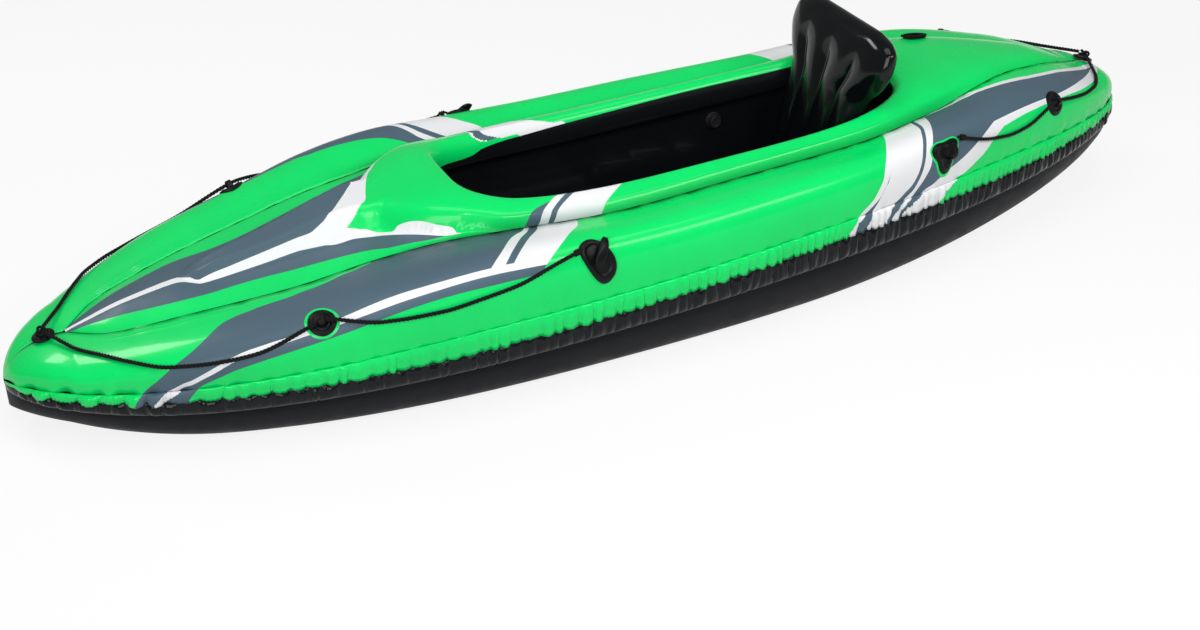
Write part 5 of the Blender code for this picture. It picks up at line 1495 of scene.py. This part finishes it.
seat = {"front": -0.085, "rear": -0.440, "halfWidth": 0.165, "thickness": 0.0423, "channels": 3, "base": 0.09635,
        "rim": 0.0035, "steps": (64, 60), "edgeLift": 0.010, "cornerPull": 0.10, "groove": 0.30, "weldShare": 0.28,
        "weldReach": 0.86, "fill": 0.85, "backHeld": True}
backrest = {
    "hinge": (-0.480, 0.0, 0.094), "lean": radians(16.5), "height": 0.456, "thickness": 0.072, "channels": 4,
    "foot": 0.004, "rim": 0.0035, "groove": 0.30, "steps": (76, 65), "slack": 0.95, "weldShare": 0.30,
    "weldRise": (0.12, 0.86), "weldReach": 0.9, "fill": 0.9, "backHeld": False,
    "channelEnds": (0.04, 0.16, 0.90, 0.15), "channelRoundness": 0.72,
    "width": ((0.0, 0.138), (0.5, 0.148), (0.64, 0.154), (0.74, 0.186), (0.84, 0.203), (0.92, 0.200), (0.97, 0.176),
              (1.0, 0.125)),
}
backrestWidth = smoothCurve(backrest["width"])


def padEdge(t, power):
    return max(1 - min(abs(t), 1.0) ** power, 0.0) ** 0.5


def backrestMatrix():
    return Matrix.Translation(backrest["hinge"]) @ Matrix.Rotation(-backrest["lean"], 4, "Y")


def channelCrown(settings, t, power=0.5):
    # 0 in the welds between a pad's channels, 1 along their crests
    return abs(sin(settings["channels"] * pi * (t + 1) / 2)) ** power


def backrestBulge(s, v):
    # half thickness over the face: upright channels that stop short of the top and the bottom
    b = backrest
    swell = padEdge(s, 4) * padEdge(2 * v - 1, 6)
    low, rising, high, falling = b["channelEnds"]
    reach = easeStep((v - low) / rising) * easeStep((high - v) / falling)
    groove = channelCrown(b, s, b["channelRoundness"])
    return b["rim"] + b["thickness"] / 2 * swell * (1 - b["groove"] * reach * (1 - groove))


def padMesh(front, back, columns, flip=False):
    # two faces of a pad joined round the edge
    rows = len(front)
    faces = gridFaces(rows, columns, False, flip)
    offset = rows * columns
    faces += [tuple(offset + k for k in reversed(face)) for face in faces]
    grid = np.arange(offset).reshape(rows, columns)
    loop = [*grid[0], *grid[1:, -1], *grid[-1, -2::-1], *grid[-2:0:-1, 0]]
    loop = loop[::-1] if flip else loop
    faces += [(b, a, a + offset, b + offset) for a, b in zip(loop, loop[1:] + loop[:1])]
    return [p for row in front + back for p in row], faces


airCloth = {
    "quality": 5, "mass": 0.25, "tension_stiffness": 22, "compression_stiffness": 22, "shear_stiffness": 12,
    "bending_stiffness": 6.0, "shrink_min": -0.006, "use_pressure": True, "uniform_pressure_force": 4.0,
    "pin_stiffness": 1.0,
}


def inflate(item, pinned, cap=0.004, frames=16, evening=24, share=0.6):
    # blows a pad up with cloth: its welds are held, and no point moves further than the cap
    before = np.array([v.co for v in item.data.vertices])
    group = item.vertex_groups.new(name="welds")
    group.add([int(k) for k in pinned], 1.0, "REPLACE")
    cloth = item.modifiers.new("air", "CLOTH")
    for key, value in airCloth.items():
        setattr(cloth.settings, key, value)
    cloth.settings.vertex_group_mass = "welds"
    cloth.settings.effector_weights.gravity = 0.0
    cloth.collision_settings.use_collision = False
    scene = bpy.context.scene
    for step in range(1, frames + 1):
        scene.frame_set(step)
    graph = bpy.context.evaluated_depsgraph_get()
    blown = item.evaluated_get(graph).to_mesh()
    after = np.array([v.co for v in blown.vertices])
    item.modifiers.remove(cloth)
    item.vertex_groups.remove(group)
    scene.frame_set(1)
    move = after - before
    # the sheet is stiff, so each point's move is evened out with its neighbours'
    first, second = np.array([e.vertices for e in item.data.edges]).T
    shares = np.bincount(first, minlength=len(move)) + np.bincount(second, minlength=len(move))
    for _ in range(evening):
        total = np.zeros_like(move)
        np.add.at(total, first, move[second])
        np.add.at(total, second, move[first])
        move = (1 - share) * move + share * total / shares[:, None]
        move[list(pinned)] = 0.0
    size = np.linalg.norm(move, axis=1, keepdims=True)
    move *= cap * np.tanh(size / cap) / np.maximum(size, 1e-9)
    item.data.vertices.foreach_set("co", (before + move).ravel())
    item.data.update()
    print(item.name, "blown up, largest move, mm:", round(1000 * float(np.linalg.norm(move, axis=1).max()), 1))


def seatPoints(i, k):
    # top and under point at two shares of the grid, and whether a weld holds them
    p, t, s = seat, -cos(pi * i), -cos(pi * k)
    x = (p["front"] + p["rear"]) / 2 + t * (p["front"] - p["rear"]) / 2
    y = s * p["halfWidth"] * (1 - p["cornerPull"] * (1 - padEdge(t, 6)))
    swell, crown = padEdge(t, 4) * padEdge(s, 6), channelCrown(p, t)
    low = p["base"] + p["edgeLift"] * (1 - swell)
    high = low + 2 * p["rim"] + p["thickness"] * swell * (1 - p["groove"] * (1 - crown))
    return (x, y, high), (x, y, low), crown < p["weldShare"] and abs(s) < p["weldReach"]


def backrestPoints(i, k):
    b, v, s = backrest, (1 - cos(pi * i)) / 2, 2 * k - 1
    half, y, z = backrestBulge(s, v) * b["slack"], s * float(backrestWidth(v)), b["foot"] + v * b["height"]
    front, back = (tuple(backrestMatrix() @ Vector((x, y, z))) for x in (half, -half))
    low, high = b["weldRise"]
    return front, back, channelCrown(b, s) < b["weldShare"] and low < v < high and abs(s) < b["weldReach"]


def makePad(name, settings, pointsAt, body, replaced):
    rows, columns = settings["steps"]
    front, back, pinned = [], [], []
    for i in range(rows):
        row = [pointsAt(i / (rows - 1), k / (columns - 1)) for k in range(columns)]
        front.append([points[0] for points in row])
        back.append([points[1] for points in row])
        for k in range(columns):
            held = row[k][2] or i in (0, rows - 1) or k in (0, columns - 1)
            at = i * columns + k
            if held:
                pinned.append(at)
            if held or settings["backHeld"]:
                pinned.append(at + rows * columns)
    item = addPiece(name, *padMesh(front, back, columns), [padVinyl], body, "black_vinyl", replaced)
    inflate(item, pinned)
    smoothIt = item.modifiers.new("subdivision", "SUBSURF")
    smoothIt.levels = smoothIt.render_levels = 1


makeCamera(cameraSettings)
cordTree = makeLifelines()
makeHank(cordTree)
makeSideSkins()
makeDeckSkin()
makeLiner()
makeBottom()
makeBands()
makeSideFittings()
makeFloor()
makePad("seatPad", seat, seatPoints, "hull", ["seat_cushion"])
makePad("backrestPad", backrest, backrestPoints, "backrest", ["backrest"])
makeValves()

# ground and light

studio = {
    "floorSize": 30.0, "floorHeight": -0.0004, "floorSeen": 0.93, "floorBounce": 0.45, "floorGlow": 0.84,
    "worldStrength": 0.24, "aim": (0, 0, 0.2),
    "lamps": {
        "keyLight": {"place": (-1.1, 2.7, 2.5), "size": (2.4, 0.7), "power": 46},
        "glintLight": {"place": (0.9, 2.9, 2.7), "size": (0.30, 0.30), "power": 10},
        "fillLight": {"place": (2.7, 3.3, 1.7), "size": (2.6, 1.8), "power": 73},
        "backLight": {"place": (1.9, -2.3, 2.5), "size": (1.2, 0.5), "power": 20},
        "topLight": {"place": (0.2, 0.6, 3.2), "size": (3.0, 1.4), "power": 34},
    },
}


def makeFloorMaterial(settings):
    # white where it is seen or mirrored, duller as a source of bounced light; shadows stay on it
    material, tree, shader = newMaterial("studioFloor")
    path = addNode(tree, "ShaderNodeLightPath").outputs
    seen = path["Is Camera Ray"]
    for name in ("Is Glossy Ray", "Is Transmission Ray"):
        seen = addNode(tree, "ShaderNodeMath", {0: seen, 1: path[name]}, operation="MAXIMUM").outputs["Value"]
    tone = addNode(tree, "ShaderNodeMix", {"Factor": seen, "A": (*[settings["floorBounce"]] * 3, 1),
                                           "B": (*[settings["floorSeen"]] * 3, 1)}, data_type="RGBA")
    setInputs(tree, shader, {"Base Color": tone.outputs["Result"], "Roughness": 0.9, "Specular IOR Level": 0.0})
    glow = addNode(tree, "ShaderNodeEmission")
    share = addNode(tree, "ShaderNodeMath", {0: seen, 1: settings["floorGlow"]}, operation="MULTIPLY")
    mix = addNode(tree, "ShaderNodeMixShader", {"Fac": share.outputs["Value"], 1: shader.outputs["BSDF"],
                                                2: glow.outputs["Emission"]})
    setInputs(tree, tree.nodes["Material Output"], {"Surface": mix.outputs["Shader"]})
    return material


def makeStudio(settings):
    half = settings["floorSize"]
    corners = [(-half, -half, 0), (half, -half, 0), (half, half, 0), (-half, half, 0)]
    floor = linked("studioFloor", plainMesh("studioFloor", corners, [(0, 1, 2, 3)]))
    floor.data.materials.append(makeFloorMaterial(settings))
    floor.location.z = settings["floorHeight"]
    world = bpy.data.worlds.new("studio")
    world.use_nodes = True
    back = world.node_tree.nodes["Background"]
    back.inputs["Color"].default_value = (1, 1, 1, 1)
    back.inputs["Strength"].default_value = settings["worldStrength"]
    bpy.context.scene.world = world
    for name, lamp in settings["lamps"].items():
        data = bpy.data.lights.new(name, "AREA")
        data.shape = "RECTANGLE"
        data.size, data.size_y = lamp["size"]
        data.energy = lamp["power"]
        item = linked(name, data)
        item.location = lamp["place"]
        aim = Vector(settings["aim"]) - Vector(lamp["place"])
        item.rotation_euler = aim.to_track_quat("-Z", "Y").to_euler()
    bpy.context.scene.view_settings.view_transform = "Standard"


makeStudio(studio)
